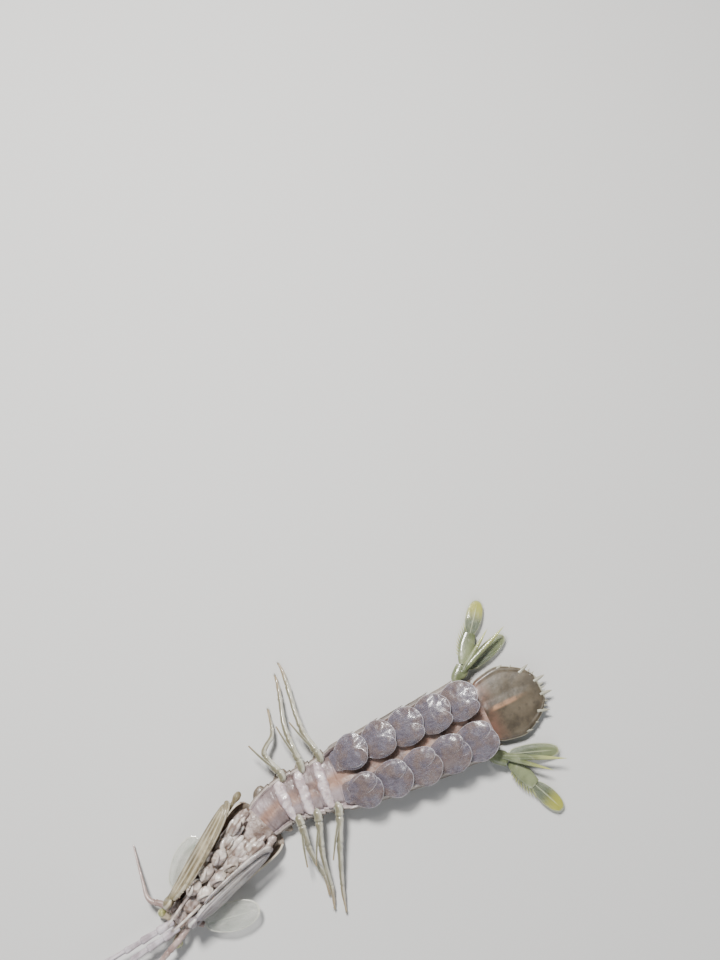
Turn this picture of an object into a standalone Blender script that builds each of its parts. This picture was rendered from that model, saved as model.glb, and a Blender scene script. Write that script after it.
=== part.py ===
"""A harpoon mantis shrimp at life size, lying on its back with its legs fallen to both sides.

Everything is drawn in millimetres in body space, where the animal is straight: X runs to its right,
Y from the tip of the rostral plate to the tail, and Z from the back, which lies on the floor at 0, up
to the belly. bent() bends body space sideways along the midline, and node() turns it into metres.
"""

import math

import bmesh
import bpy
from mathutils import Vector

METRES_PER_MM = 0.001
UP = Vector((0.0, 0.0, 1.0))
SIDES = {"right": 1, "left": -1}

# Lengths along the midline, and the gap that touching parts keep
ROSTRAL_PLATE = 7.5
CARAPACE = 45.5
THORAX = {5: 8.5, 6: 8.0, 7: 8.0, 8: 8.5}
ABDOMEN = {1: 11.6, 2: 11.6, 3: 11.6, 4: 11.6, 5: 11.6, 6: 8.0}
TELSON = 26.0
GAP = 0.3

# Half widths at the front and the rear of each ring of the trunk, and its height
THORAX_WIDTHS = {5: (8.6, 9.2), 6: (9.4, 10.0), 7: (10.1, 10.7), 8: (10.8, 11.8)}
THORAX_HEIGHTS = {5: 9.0, 6: 9.6, 7: 9.9, 8: 10.2}
ABDOMEN_WIDTHS = {
    1: (12.8, 13.9), 2: (13.9, 14.9), 3: (14.9, 15.6), 4: (15.5, 16.1), 5: (15.9, 16.2), 6: (15.2, 13.4),
}
ABDOMEN_HEIGHTS = {1: 10.8, 2: 11.2, 3: 11.5, 4: 11.5, 5: 11.2, 6: 9.0}

# The sideways bend: the midline's heading in degrees, at a distance from the rostral plate's tip
HEADINGS = ((53.0, 15.5), (71.0, -12.5), (90.0, -11.0), (150.0, -8.5))

COLOURS = {
    "shell": ((0.36, 0.30, 0.27), 0.35),
    "pale": ((0.80, 0.76, 0.74), 0.40),
    "limb": ((0.66, 0.60, 0.47), 0.38),
    "claw": ((0.70, 0.68, 0.66), 0.25),
    "swimmeret": ((0.55, 0.53, 0.56), 0.30),
    "fan": ((0.62, 0.62, 0.44), 0.32),
    "telson": ((0.40, 0.31, 0.24), 0.30),
    "eye": ((0.42, 0.44, 0.22), 0.12),
}


def station_table():
    """The front end of each ring of the trunk, from the lengths."""
    stations = {}
    y = ROSTRAL_PLATE + CARAPACE
    for number, length in THORAX.items():
        stations["thorax", number] = y
        y += length
    for number, length in ABDOMEN.items():
        stations["abdomen", number] = y
        y += length
    stations["telson"] = y
    return stations


STATION = station_table()


# The bent midline

def heading(y):
    """The midline's direction at y, in radians, anticlockwise from straight."""
    near_y, near_angle = HEADINGS[0]
    if y <= near_y:
        return math.radians(near_angle)
    for far_y, far_angle in HEADINGS[1:]:
        if y <= far_y:
            share = (y - near_y) / (far_y - near_y)
            eased = share * share * (3.0 - 2.0 * share)
            return math.radians(near_angle + (far_angle - near_angle) * eased)
        near_y, near_angle = far_y, far_angle
    return math.radians(near_angle)


def direction(angle):
    """The way towards the tail for a heading."""
    return Vector((-math.sin(angle), math.cos(angle), 0.0))


MIDLINE_STEP = 0.5
MIDLINE_START = HEADINGS[0][0]


def midline_table():
    """Points of the bent midline, one each MIDLINE_STEP, from the first bend to the end of the telson."""
    count = int((STATION["telson"] + TELSON - MIDLINE_START) / MIDLINE_STEP) + 1
    points = [Vector((0.0, MIDLINE_START, 0.0))]
    for index in range(count):
        angle = heading(MIDLINE_START + (index + 0.5) * MIDLINE_STEP)
        points.append(points[-1] + MIDLINE_STEP * direction(angle))
    return points


MIDLINE = midline_table()


def midline_point(y):
    if y <= MIDLINE_START:
        return MIDLINE[0] + (y - MIDLINE_START) * direction(heading(y))
    steps = (y - MIDLINE_START) / MIDLINE_STEP
    index = min(int(steps), len(MIDLINE) - 2)
    return MIDLINE[index].lerp(MIDLINE[index + 1], steps - index)


def bent(point, station=None):
    """Body space to the bent animal. With a station, the piece is turned whole, by the bend there."""
    y = point.y if station is None else station
    angle = heading(y)
    across = Vector((math.cos(angle), math.sin(angle), 0.0))
    return midline_point(y) + (point.y - y) * direction(angle) + point.x * across + point.z * UP


# Closed bodies from rings of points

def skin(rings):
    """A closed mesh through rings of equal count. A ring of one point is a tip."""
    body = bmesh.new()
    rows = [[body.verts.new(point) for point in ring] for ring in rings]
    for near, far in zip(rows, rows[1:]):
        count = max(len(near), len(far))
        for j in range(count):
            k = (j + 1) % count
            if len(near) == 1:
                body.faces.new((near[0], far[k], far[j]))
            elif len(far) == 1:
                body.faces.new((near[j], near[k], far[0]))
            elif 2 * j < count:
                body.faces.new((near[j], near[k], far[k], far[j]))
            else:
                body.faces.new((near[k], far[k], far[j], near[j]))
    for row in (rows[0], rows[-1]):
        if len(row) > 1:
            body.faces.new(row)
    bmesh.ops.recalc_face_normals(body, faces=body.faces)
    return body


def oval(centre, across, above, half_width, half_depth, sides, roundness):
    """An oval ring. Roundness 1 is an ellipse, and a smaller value is closer to a box."""
    points = []
    for j in range(sides):
        angle = 2.0 * math.pi * (j + 0.5) / sides
        x = math.copysign(abs(math.cos(angle)) ** roundness, math.cos(angle))
        z = math.copysign(abs(math.sin(angle)) ** roundness, math.sin(angle))
        points.append(centre + across * half_width * x + above * half_depth * z)
    return points


def limb(path, sizes, sides=6, above=UP, roundness=1.0):
    """A closed tube along a path. Each size is a half width and a half depth, and 0 is a pointed end."""
    path = [Vector(point) for point in path]
    rings = []
    for i, point in enumerate(path):
        along = (path[min(i + 1, len(path) - 1)] - path[max(i - 1, 0)]).normalized()
        across = along.cross(above).normalized()
        upward = across.cross(along)
        half_width, half_depth = sizes[i]
        if half_width == 0.0:
            rings.append([point])
        else:
            rings.append(oval(point, across, upward, half_width, half_depth, sides, roundness))
    return skin(rings)


def spine(root, tip, radius, sides=4):
    """A cone whose root is sunk into what carries it."""
    return limb((root, tip), ((radius, radius), (0.0, 0.0)), sides)


def ball(centre, half_sizes, segments=8, rings=5):
    body = bmesh.new()
    bmesh.ops.create_uvsphere(body, u_segments=segments, v_segments=rings, radius=1.0)
    bmesh.ops.scale(body, vec=half_sizes, verts=body.verts)
    bmesh.ops.translate(body, vec=centre, verts=body.verts)
    return body


LEAF_NARROWING = 0.22


def leaf(root, tip, half_width, thickness, dome, lean, segments=14):
    """A rounded blade from root to tip, bulging by dome, tilted about its length by lean degrees."""
    along = tip - root
    across = along.cross(UP).normalized()
    turned = across * math.cos(math.radians(lean)) + UP * math.sin(math.radians(lean))
    bulge = turned.cross(along).normalized()
    body = bmesh.new()
    circle = bmesh.ops.create_circle(body, cap_ends=True, cap_tris=True, segments=segments, radius=1.0)
    for vertex in circle["verts"]:
        u, v = vertex.co.x, vertex.co.y
        width = half_width * (1.0 - LEAF_NARROWING * max(0.0, -v))
        height = dome * (1.0 - u * u - v * v)
        vertex.co = root + along * (0.5 + 0.5 * v) + turned * width * u + bulge * height
    bmesh.ops.recalc_face_normals(body, faces=body.faces)
    bmesh.ops.solidify(body, geom=body.verts[:] + body.edges[:] + body.faces[:], thickness=thickness)
    bmesh.ops.recalc_face_normals(body, faces=body.faces)
    return body


# Joining a node's pieces and putting it in its place

def new_collection(name):
    collection = bpy.data.collections.new(name)
    bpy.context.scene.collection.children.link(collection)
    return collection


def as_object(name, body, collection):
    mesh = bpy.data.meshes.new(name)
    body.to_mesh(mesh)
    body.free()
    made = bpy.data.objects.new(name, mesh)
    collection.objects.link(made)
    return made


def islands(body):
    """The mesh's closed surfaces, each as a list of its faces."""
    left = set(body.faces)
    found = []
    while left:
        front = [left.pop()]
        surface = list(front)
        while front:
            for edge in front.pop().edges:
                for face in edge.link_faces:
                    if face in left:
                        left.remove(face)
                        front.append(face)
                        surface.append(face)
        found.append(surface)
    return found


def keep_largest(body):
    """Drops every closed surface but the one with the most area."""
    surfaces = sorted(islands(body), key=lambda faces: sum(face.calc_area() for face in faces))
    for surface in surfaces[:-1]:
        vertices = list({vertex for face in surface for vertex in face.verts})
        bmesh.ops.delete(body, geom=vertices, context="VERTS")


def fused(name, pieces, solver="EXACT"):
    """One closed mesh from overlapping ones, by one Boolean union on a collection."""
    if len(pieces) == 1:
        return pieces[0]
    helpers = new_collection(name + "_pieces")
    first = as_object(name + "_core", pieces[0], bpy.context.scene.collection)
    for index, piece in enumerate(pieces[1:]):
        as_object(f"{name}_{index}", piece, helpers)
    union = first.modifiers.new("join", "BOOLEAN")
    union.operation = "UNION"
    union.operand_type = "COLLECTION"
    union.collection = helpers
    union.solver = solver
    graph = bpy.context.evaluated_depsgraph_get()
    mesh = bpy.data.meshes.new_from_object(first.evaluated_get(graph))
    body = bmesh.new()
    body.from_mesh(mesh)
    bpy.data.meshes.remove(mesh)
    for helper in list(helpers.objects) + [first]:
        bpy.data.objects.remove(helper)
    bpy.data.collections.remove(helpers)
    keep_largest(body)
    return body


def material(name):
    """The part's plain finish of that name."""
    found = bpy.data.materials.get(name)
    if found:
        return found
    colour, roughness = COLOURS[name]
    made = bpy.data.materials.new(name)
    made.use_nodes = True
    shader = made.node_tree.nodes["Principled BSDF"]
    shader.inputs["Base Color"].default_value = (*colour, 1.0)
    shader.inputs["Roughness"].default_value = roughness
    shader.inputs["Metallic"].default_value = 0.0
    made.diffuse_color = (*colour, 1.0)
    return made


SHARP_ANGLE = math.radians(40.0)


def node(name, pieces, root, finish, station=None, solver="EXACT"):
    """One named part: its pieces joined, bent with the body and hung from the body's empty at its root."""
    body = fused(name, pieces, solver)
    anchor = bent(Vector(root), station) * METRES_PER_MM
    for vertex in body.verts:
        vertex.co = bent(vertex.co, station) * METRES_PER_MM - anchor
    made = as_object(name, body, PARTS)
    made.parent = BODY
    made.location = anchor
    made.data.materials.append(material(finish))
    made.data.shade_smooth()
    made.data.set_sharp_from_angle(angle=SHARP_ANGLE)
    return made


# The trunk's rings, each a plate of the back with its flanks and a breastplate between them

# Half of a ring's section, from the middle of the back round to the middle of the belly, as shares of
# its half width and height: the back and the flank, the flank's free edge, then the breastplate.
ABDOMEN_SECTION = (
    (0.22, 0.0), (0.52, 0.0), (0.78, 0.06), (0.93, 0.20), (1.00, 0.46), (0.99, 0.76), (0.95, 1.0),
    (0.86, 0.97), (0.79, 0.80), (0.64, 0.84), (0.30, 0.92),
)
THORAX_SECTION = (
    (0.22, 0.0), (0.55, 0.0), (0.82, 0.08), (0.96, 0.25), (1.00, 0.48), (0.97, 0.72),
    (0.84, 0.80), (0.76, 0.76), (0.66, 0.90), (0.26, 1.0),
)
# Along a ring, the share of its length, how much wider it flares, and how far its back is off the floor
FLARES = ((0.0, 0.955, 0.55), (0.14, 0.985, 0.25), (0.55, 1.0, 0.0), (0.90, 1.02, 0.0), (1.0, 1.035, 0.0))


def section_ring(section, y, half_width, height, lift):
    """The full ring of points from the half section, right side first."""
    half = [Vector((u * half_width, y, lift + v * (height - lift))) for u, v in section]
    return half + [Vector((-point.x, point.y, point.z)) for point in reversed(half)]


def trunk_ring(section, front, length, widths, height):
    rings = []
    for share, flare, lift in FLARES:
        half_width = (widths[0] + (widths[1] - widths[0]) * share) * flare
        y = front + GAP / 2.0 + share * (length - GAP)
        rings.append(section_ring(section, y, half_width, height * flare, lift))
    return skin(rings)


# The ridges along each flank, by share of the half width and of the height, how far each stands out and
# how far its sharp tip reaches past the ring's rear
RIDGES = ((0.86, 0.10, 0.35, 0.9), (0.985, 0.34, 0.40, 1.2), (0.995, 0.78, 0.25, 1.8))
RIDGE_RADIUS = 0.7


def flank_ridges(front, length, widths, height):
    """The sharp ridges along both flanks, each ending in a point past the ring's rear."""
    rear = front + length - GAP / 2.0
    ridges = []
    for side in SIDES.values():
        for across, level, stand, reach in RIDGES:
            stops = ((front + 1.2, 0.0), (front + 0.55 * length, stand), (rear - 0.8, stand + 0.3))
            path = []
            for y, out in stops:
                half_width = widths[0] + (widths[1] - widths[0]) * (y - front) / length
                path.append(Vector((side * (half_width * across + out - 0.3), y, height * level)))
            path.append(path[-1] + Vector((side * 0.5, 0.8 + reach, 0.0)))
            sizes = ((0.5 * RIDGE_RADIUS,) * 2, (RIDGE_RADIUS,) * 2, (RIDGE_RADIUS,) * 2, (0.0, 0.0))
            ridges.append(limb(path, sizes, 4))
    return ridges


# The white swollen band across the breastplate of the three rings that carry the walking legs
BAND_SHARE = 0.40
BAND_HALF_LENGTH = 2.15
BAND_HALF_DEPTH = 0.8


def white_band(front, length, half_width, height):
    y = front + BAND_SHARE * length
    stops = (-0.76, -0.40, 0.0, 0.40, 0.76)
    swell = (0.62, 0.9, 1.0, 0.9, 0.62)
    path = [Vector((share * half_width, y, height * (1.0 - 0.13 * share * share) - 0.25)) for share in stops]
    sizes = [(BAND_HALF_LENGTH * grow, BAND_HALF_DEPTH * grow) for grow in swell]
    return limb(path, sizes, 8)


def thorax():
    for number, length in THORAX.items():
        front = STATION["thorax", number]
        widths, height = THORAX_WIDTHS[number], THORAX_HEIGHTS[number]
        pieces = [trunk_ring(THORAX_SECTION, front, length, widths, height)]
        middle = front + 0.52 * length
        for side in SIDES.values():
            root = Vector((side * (widths[0] - 2.5), middle - 0.6, 0.38 * height))
            tip = Vector((side * (widths[1] + 1.7), middle + 0.24 * length, 0.36 * height))
            pieces.append(limb((root, root.lerp(tip, 0.7), tip), ((2.6, 1.5), (1.9, 1.0), (0.5, 0.4)), 6))
        if number > 5:
            pieces.append(white_band(front, length, widths[0], height))
        node(f"thorax_{number}", pieces, (0, front, 0), "shell")


def abdomen():
    for number, length in ABDOMEN.items():
        front = STATION["abdomen", number]
        widths, height = ABDOMEN_WIDTHS[number], ABDOMEN_HEIGHTS[number]
        pieces = [trunk_ring(ABDOMEN_SECTION, front, length, widths, height)]
        if number != 6:
            pieces += flank_ridges(front, length, widths, height)
        node(f"abdomen_{number}", pieces, (0, front, 0), "shell")


# The tail plate

# The share of the telson's length, its half width and its half thickness there
TELSON_PROFILE = (
    (0.0, 10.2, 2.4), (0.05, 12.8, 2.3), (0.20, 14.1, 2.1), (0.44, 15.0, 1.9), (0.58, 14.0, 1.6),
    (0.74, 11.8, 1.3), (0.87, 9.4, 1.0), (0.96, 6.4, 0.8), (1.0, 4.4, 0.6),
)
# On each side: the tooth's share along the telson, its distance out, its heading outward in degrees,
# how far it stands out, and its radius. The first three are the great teeth, the rest denticles.
TELSON_TEETH = (
    (0.47, 14.6, 16.0, 3.0, 0.9), (0.83, 10.0, 18.0, 3.6, 0.9), (0.985, 4.2, 6.0, 3.6, 0.9),
    (0.66, 12.8, 30.0, 1.7, 0.55), (0.90, 8.4, 26.0, 1.6, 0.5), (0.94, 6.9, 22.0, 1.6, 0.5),
    (0.99, 1.8, 4.0, 1.4, 0.45),
)
TELSON_LEVEL = 3.4
TELSON_RISE = 1.6


def telson_height(share):
    """The level of the tail plate's middle layer, which tips up a little towards its end."""
    return TELSON_LEVEL + TELSON_RISE * share * share


def telson():
    front = STATION["telson"] + GAP / 2.0
    length = TELSON - GAP
    path = [Vector((0.0, front + share * length, telson_height(share))) for share, _, _ in TELSON_PROFILE]
    sizes = [(half_width, half_depth) for _, half_width, half_depth in TELSON_PROFILE]
    pieces = [limb(path, sizes, 12, roundness=0.85)]
    for share, out, outward, reach, radius in TELSON_TEETH:
        for side in SIDES.values():
            way = heading_out(side, outward, 0.1)
            at = Vector((side * (out - 1.2), front + share * length, telson_height(share)))
            pieces.append(spine(at - way * 1.2, at + way * (reach + 0.6), radius))
    ridge_start = Vector((0.0, front + 1.5, telson_height(0.0) + 1.6))
    ridge_end = Vector((0.0, front + 0.7 * length, telson_height(0.7) + 0.6))
    ridge_sizes = ((1.6, 0.9), (1.5, 1.1), (0.4, 0.5))
    pieces.append(limb((ridge_start, ridge_start.lerp(ridge_end, 0.25), ridge_end), ridge_sizes, 6))
    keel_start = Vector((0.0, front + 2.0, telson_height(0.0) - 1.9))
    keel_end = Vector((0.0, front + 0.86 * length, telson_height(0.86) - 1.0))
    keel_sizes = ((0.7, 0.6), (1.1, 0.9), (1.0, 0.9), (0.4, 0.4))
    keel_path = [keel_start.lerp(keel_end, share) for share in (0.0, 0.2, 0.75, 1.0)]
    pieces.append(limb(keel_path, keel_sizes, 6))
    node("telson", pieces, (0, front, 0), "telson")


# The side blades of the tail fan

def heading_out(side, degrees, rise=0.0):
    """A direction by its angle outwards from straight back, on one side."""
    angle = math.radians(degrees)
    return Vector((side * math.sin(angle), math.cos(angle), rise)).normalized()


# Each side's spread in degrees: the outer blade, the inner blade, and the fork's two spines
FAN_SPREAD = {"right": (66.0, 20.0, 26.0, 39.0), "left": (50.0, 17.0, 22.0, 34.0)}
FAN_LEVEL = 4.8
FAN_BASE_LENGTH = 7.4
FAN_BASE_SPREAD = 48.0
OUTER_ROOT, OUTER_STOUT, OUTER_PADDLE = 1.5, 13.5, 14.5
INNER_BLADE = 21.0
FORK_LENGTHS = (26.0, 21.0)
COMB_SPINES = 9


def uropod(name, side):
    """One side of the fan: its base with the forked process, the spined outer blade and the inner blade."""
    base_y = STATION["telson"]
    outer_angle, inner_angle, long_angle, short_angle = FAN_SPREAD[name]
    root = Vector((side * (ABDOMEN_WIDTHS[6][1] + 2.0), base_y - 4.4, FAN_LEVEL))
    base_end = root + heading_out(side, FAN_BASE_SPREAD) * FAN_BASE_LENGTH
    neck = root + Vector((side * 2.0, 0.7, 0.0))
    base_sizes = ((1.7, 1.7), (2.5, 2.0), (3.1, 1.9), (2.6, 1.5))
    base = limb((root, neck, root.lerp(base_end, 0.65), base_end), base_sizes, 8, roundness=0.8)
    fork_root = root.lerp(base_end, 0.55) + Vector((0.0, 0.8, 1.3))
    fork = []
    for degrees, reach, wide in ((long_angle, FORK_LENGTHS[0], 1.3), (short_angle, FORK_LENGTHS[1], 1.1)):
        way = heading_out(side, degrees, 0.06)
        path = [fork_root + way * share * reach for share in (0.0, 0.3, 0.7, 1.0)]
        fork.append(limb(path, ((wide, 0.9), (wide, 0.8), (0.6 * wide, 0.5), (0.0, 0.0)), 5))
    node(f"uropod_base_{name}", [base] + fork, root, "fan", base_y)

    # The outer blade: a stout part with a comb of spines on its outer edge, and a soft paddle beyond it
    out = heading_out(side, outer_angle, -0.06)
    before = Vector((out.y, -out.x, 0.0)).normalized() * side
    turn = math.radians(abs(outer_angle - FAN_BASE_SPREAD))
    step = 1.5 * GAP + OUTER_ROOT * math.sin(turn)
    start = base_end + heading_out(side, FAN_BASE_SPREAD) * step - UP * 1.0
    knuckle = start + out * OUTER_STOUT
    stout_path = [start + out * reach for reach in (0.0, 2.5, 0.6 * OUTER_STOUT, OUTER_STOUT)]
    stout_sizes = ((OUTER_ROOT, 1.0), (2.5, 1.1), (3.2, 0.9), (2.5, 0.8))
    stout = limb(stout_path, stout_sizes, 8, roundness=0.8)
    paddle_stops = (-1.2, 2.5, 0.55 * OUTER_PADDLE, 0.88 * OUTER_PADDLE, OUTER_PADDLE)
    paddle_path = [knuckle + out * reach for reach in paddle_stops]
    paddle_sizes = ((1.6, 0.6), (3.0, 0.5), (3.5, 0.45), (2.4, 0.4), (0.9, 0.35))
    paddle = limb(paddle_path, paddle_sizes, 8, roundness=0.7)
    comb = []
    for index in range(COMB_SPINES):
        share = (index + 1.0) / COMB_SPINES
        edge = 1.9 + 0.9 * math.sin(math.pi * share)
        at = start + out * (2.0 + (OUTER_STOUT - 2.4) * share) + before * edge
        way = (out * (0.55 + 0.5 * share) + before * (1.0 - 0.55 * share)).normalized()
        comb.append(spine(at - way * 1.2, at + way * (1.6 + 3.0 * share), 0.5))
    node(f"uropod_outer_{name}", [stout, paddle] + comb, start, "fan", base_y)

    # The inner blade, a long plain paddle
    inward = heading_out(side, inner_angle, -0.03)
    start = root.lerp(base_end, 0.6) + Vector((0.0, 3.2 + GAP, -1.6))
    path = [start + inward * INNER_BLADE * share for share in (0.0, 0.16, 0.5, 0.85, 1.0)]
    blade = limb(path, ((1.2, 0.6), (2.4, 0.6), (3.2, 0.55), (2.4, 0.45), (0.8, 0.35)), 8, roundness=0.7)
    node(f"uropod_inner_{name}", [blade], start, "fan", base_y)


# The carapace and the head

# Along the carapace: distance from the rostral tip, half width, height of its free edge
CARAPACE_STATIONS = (
    (7.8, 4.9, 3.2), (10.5, 6.2, 3.9), (17.0, 7.8, 4.6), (28.0, 9.8, 5.2), (41.0, 12.0, 5.6),
    (49.0, 12.8, 5.6), (52.6, 12.0, 4.6),
)
CARAPACE_SECTION = ((0.0, 0.0), (0.42, 0.0), (0.70, 0.06), (0.88, 0.24), (0.97, 0.58), (1.0, 1.0))
CARAPACE_WALL = 1.1


def carapace():
    """A shallow tray with bent-up sides, open towards the belly."""
    body = bmesh.new()
    rows = []
    for y, half_width, height in CARAPACE_STATIONS:
        right = [Vector((u * half_width, y, v * height)) for u, v in CARAPACE_SECTION]
        points = [Vector((-point.x, point.y, point.z)) for point in reversed(right[1:])] + right
        rows.append([body.verts.new(point) for point in points])
    for near, far in zip(rows, rows[1:]):
        for j in range(len(near) - 1):
            body.faces.new((near[j], near[j + 1], far[j + 1], far[j]))
    bmesh.ops.recalc_face_normals(body, faces=body.faces)
    body.faces.ensure_lookup_table()
    if body.faces[len(CARAPACE_SECTION)].normal.z > 0.0:
        bmesh.ops.reverse_faces(body, faces=body.faces)
    bmesh.ops.triangulate(body, faces=body.faces)
    bmesh.ops.solidify(body, geom=body.verts[:] + body.edges[:] + body.faces[:], thickness=CARAPACE_WALL)
    bmesh.ops.recalc_face_normals(body, faces=body.faces)
    front_y, front_half_width, _ = CARAPACE_STATIONS[0]
    corners = []
    for side in SIDES.values():
        root = Vector((side * (front_half_width - 0.7), front_y + 1.6, 1.4))
        corners.append(spine(root, root + Vector((side * 0.5, -4.0, 0.0)), 0.7))
    node("carapace", [body] + corners, (0, front_y, 0), "shell")
    plate_path = ((0, ROSTRAL_PLATE, 1.2), (0, 5.4, 1.3), (0, 2.2, 1.5), (0, 0, 1.8))
    plate = limb(plate_path, ((3.4, 0.5), (3.2, 0.5), (1.7, 0.45), (0.0, 0.0)), 8, roundness=0.8)
    node("rostral_plate", [plate], (0, ROSTRAL_PLATE, 1.2), "shell")


# Along the head's underside: distance from the rostral tip, half width, low and high level
HEAD_STATIONS = (
    (3.8, 2.6, 2.6, 7.8), (7.0, 3.3, 1.9, 9.6), (14.0, 4.1, 1.6, 11.0), (28.0, 4.5, 1.6, 11.4),
    (38.0, 5.6, 1.6, 11.0), (52.6, 7.2, 1.6, 9.4),
)


def head():
    path = [(0.0, y, (low + high) / 2.0) for y, _, low, high in HEAD_STATIONS]
    sizes = [(half_width, (high - low) / 2.0) for _, half_width, low, high in HEAD_STATIONS]
    trunk = limb(path, sizes, 10, roundness=0.8)
    lip = ball((0.0, 13.5, 10.6), (2.5, 4.0, 2.1), 10, 6)
    node("head", [trunk, lip], (0, 28, 2), "pale")


def mouthparts():
    """The slender first limbs behind the mouth, lying forwards beside the lip."""
    for name, side in SIDES.items():
        stops = ((1.2, 19.0, 12.6), (2.7, 15.5, 12.8), (2.3, 9.0, 12.6), (1.4, 2.0, 12.4))
        path = [(side * x, y, z) for x, y, z in stops]
        feeler = limb(path, ((0.8, 0.7), (0.7, 0.6), (0.55, 0.55), (0.35, 0.3)), 6)
        node(f"maxilliped_1_{name}", [feeler], path[0], "limb")


# The eyes, the feelers and the feeler scales, on the front of the head, which is turned to its left

FACE_TURN = math.radians(-17.0)
FACE_AHEAD = Vector((math.sin(FACE_TURN), -math.cos(FACE_TURN), 0.0))
FACE_ACROSS = Vector((math.cos(FACE_TURN), math.sin(FACE_TURN), 0.0))
FACE_MIDDLE = Vector((0.5, 2.4, 0.0))
EYE_ROOTS = {"right": (1.8, 2.5), "left": (-1.8, 2.15)}
EYE_LEVEL = 3.6
EYE_OUT, EYE_AHEAD = 5.8, 2.8
CORNEA_LOBE, CORNEA_APART = 1.8, 1.05


def face_point(out, ahead, level):
    return FACE_MIDDLE + FACE_ACROSS * out + FACE_AHEAD * ahead + UP * level


def eyes():
    for name, side in SIDES.items():
        root = Vector((*EYE_ROOTS[name], EYE_LEVEL))
        cup = face_point(side * EYE_OUT, EYE_AHEAD, EYE_LEVEL)
        stalk = limb((root, root.lerp(cup, 0.5), cup), ((1.3, 1.2), (1.2, 1.2), (1.8, 1.6)), 8)
        out = (cup - root).normalized()
        across = Vector((0.35 * out.y, -0.35 * out.x, 0.94))
        pieces = [stalk]
        for offset in (-CORNEA_APART, CORNEA_APART):
            pieces.append(ball(cup + out * 0.8 + across * offset, (CORNEA_LOBE,) * 3, 8, 6))
        node(f"eye_{name}", pieces, root, "eye")


PEDUNCLE_JOINTS = (0.0, 7.0, 7.6, 14.0, 14.6, 21.0)
PEDUNCLE_SIZES = ((1.4, 1.3), (1.6, 1.4), (1.25, 1.15), (1.45, 1.25), (1.1, 1.0), (1.25, 1.1))
# Each whip's length, its spread outward and its rise
WHIPS = ((31.0, 0.07, -0.08), (28.0, 0.02, 0.04), (23.0, -0.02, -0.14))
ANTENNULE_OUT, ANTENNULE_LEVEL = 1.5, 7.2
ANTENNULE_AHEAD = {"right": -1.1, "left": -0.2}


def antennules():
    """Three stout joints each, with three whips, held together in one forward bundle."""
    for name, side in SIDES.items():
        root = face_point(side * ANTENNULE_OUT, ANTENNULE_AHEAD[name], ANTENNULE_LEVEL)
        line = FACE_AHEAD + FACE_ACROSS * side * 0.025
        joints = [root + line * reach for reach in PEDUNCLE_JOINTS]
        pieces = [limb(joints, PEDUNCLE_SIZES, 8)]
        for reach, spread, rise in WHIPS:
            way = (FACE_AHEAD + FACE_ACROSS * side * spread + UP * rise).normalized()
            start = joints[-1] - FACE_AHEAD * 1.4 + FACE_ACROSS * side * 6.0 * spread
            start += UP * (0.2 + 2.6 * rise)
            middle = start + way * reach * 0.5
            tip = start + way * reach + FACE_AHEAD * 0.8 - UP * 0.9
            pieces.append(limb((start, middle, tip), ((0.55, 0.55), (0.42, 0.42), (0.25, 0.25)), 5))
        node(f"antennule_{name}", pieces, root, "limb")


# The way of each long feeler from its root on the head, and where its stout joints end
FEELERS = {
    "right": ((4.6, 5.6, 6.6), (5.2, 0.2, 7.7), (5.3, -12.0, 7.5), (7.0, -23.0, 5.6), (11.0, -40.0, 2.2)),
    "left": ((-3.8, 5.4, 6.6), (-8.6, 4.4, 6.9), (-14.0, 2.2, 6.8), (-21.0, 5.0, 4.6), (-33.0, 11.0, 1.4)),
}
FEELER_SIZES = ((1.2, 1.0), (1.3, 1.0), (1.0, 0.95), (0.6, 0.6), (0.28, 0.28))
# Where each feeler's scale hangs and ends, and how far it is tilted about its length
SCALE_STEMS = {
    "right": ((4.1, 8.6, 6.1), (6.6, 8.8, 5.9), (8.6, 9.6, 5.9)),
    "left": ((-4.1, 8.8, 6.0), (-7.0, 9.4, 5.8), (-8.8, 10.4, 5.8)),
}
SCALES = {"right": ((9.2, 10.4, 5.95), (20.9, 28.2, 5.7)), "left": ((-9.4, 11.2, 5.85), (-15.6, 31.0, 5.9))}


def antennae():
    for name in SIDES:
        whip = limb(FEELERS[name], FEELER_SIZES, 6)
        stem = limb(SCALE_STEMS[name], ((0.8, 0.7), (1.1, 0.65), (1.0, 0.6)), 6)
        bridge_end = Vector(FEELERS[name][0]).lerp(Vector(FEELERS[name][1]), 0.3)
        bridge = limb((bridge_end, Vector(SCALE_STEMS[name][0])), ((1.0, 1.0), (0.8, 0.8)), 6)
        node(f"antenna_{name}", [whip, bridge, stem], FEELERS[name][0], "limb")
        start, end = (Vector(point) for point in SCALES[name])
        path = [start.lerp(end, share) for share in (0.0, 0.2, 0.55, 0.85, 1.0)]
        blade = limb(path, ((1.1, 0.4), (4.0, 0.4), (5.4, 0.4), (4.1, 0.35), (1.2, 0.3)), 8, roundness=0.7)
        node(f"antennal_scale_{name}", [blade], start, "fan")


# The great claws, folded like a jack-knife over the head, so that both point in at the front

CLAW_STATION = 20.0
# How far back and how far out each folded claw lies, and how long its palm is
CLAW_SLIDE = {"right": 8.0, "left": 6.5}
CLAW_OUT = {"right": 0.0, "left": 1.8}
PALM_LENGTH = {"right": 34.5, "left": 37.0}
# How far out the palm starts, and how it bears outwards towards its end
PALM_BEARING = {"right": (5.4, 3.4, 0.6), "left": (4.9, 6.6, 1.6)}
PALM_TILT = math.radians(56.0)
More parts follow.
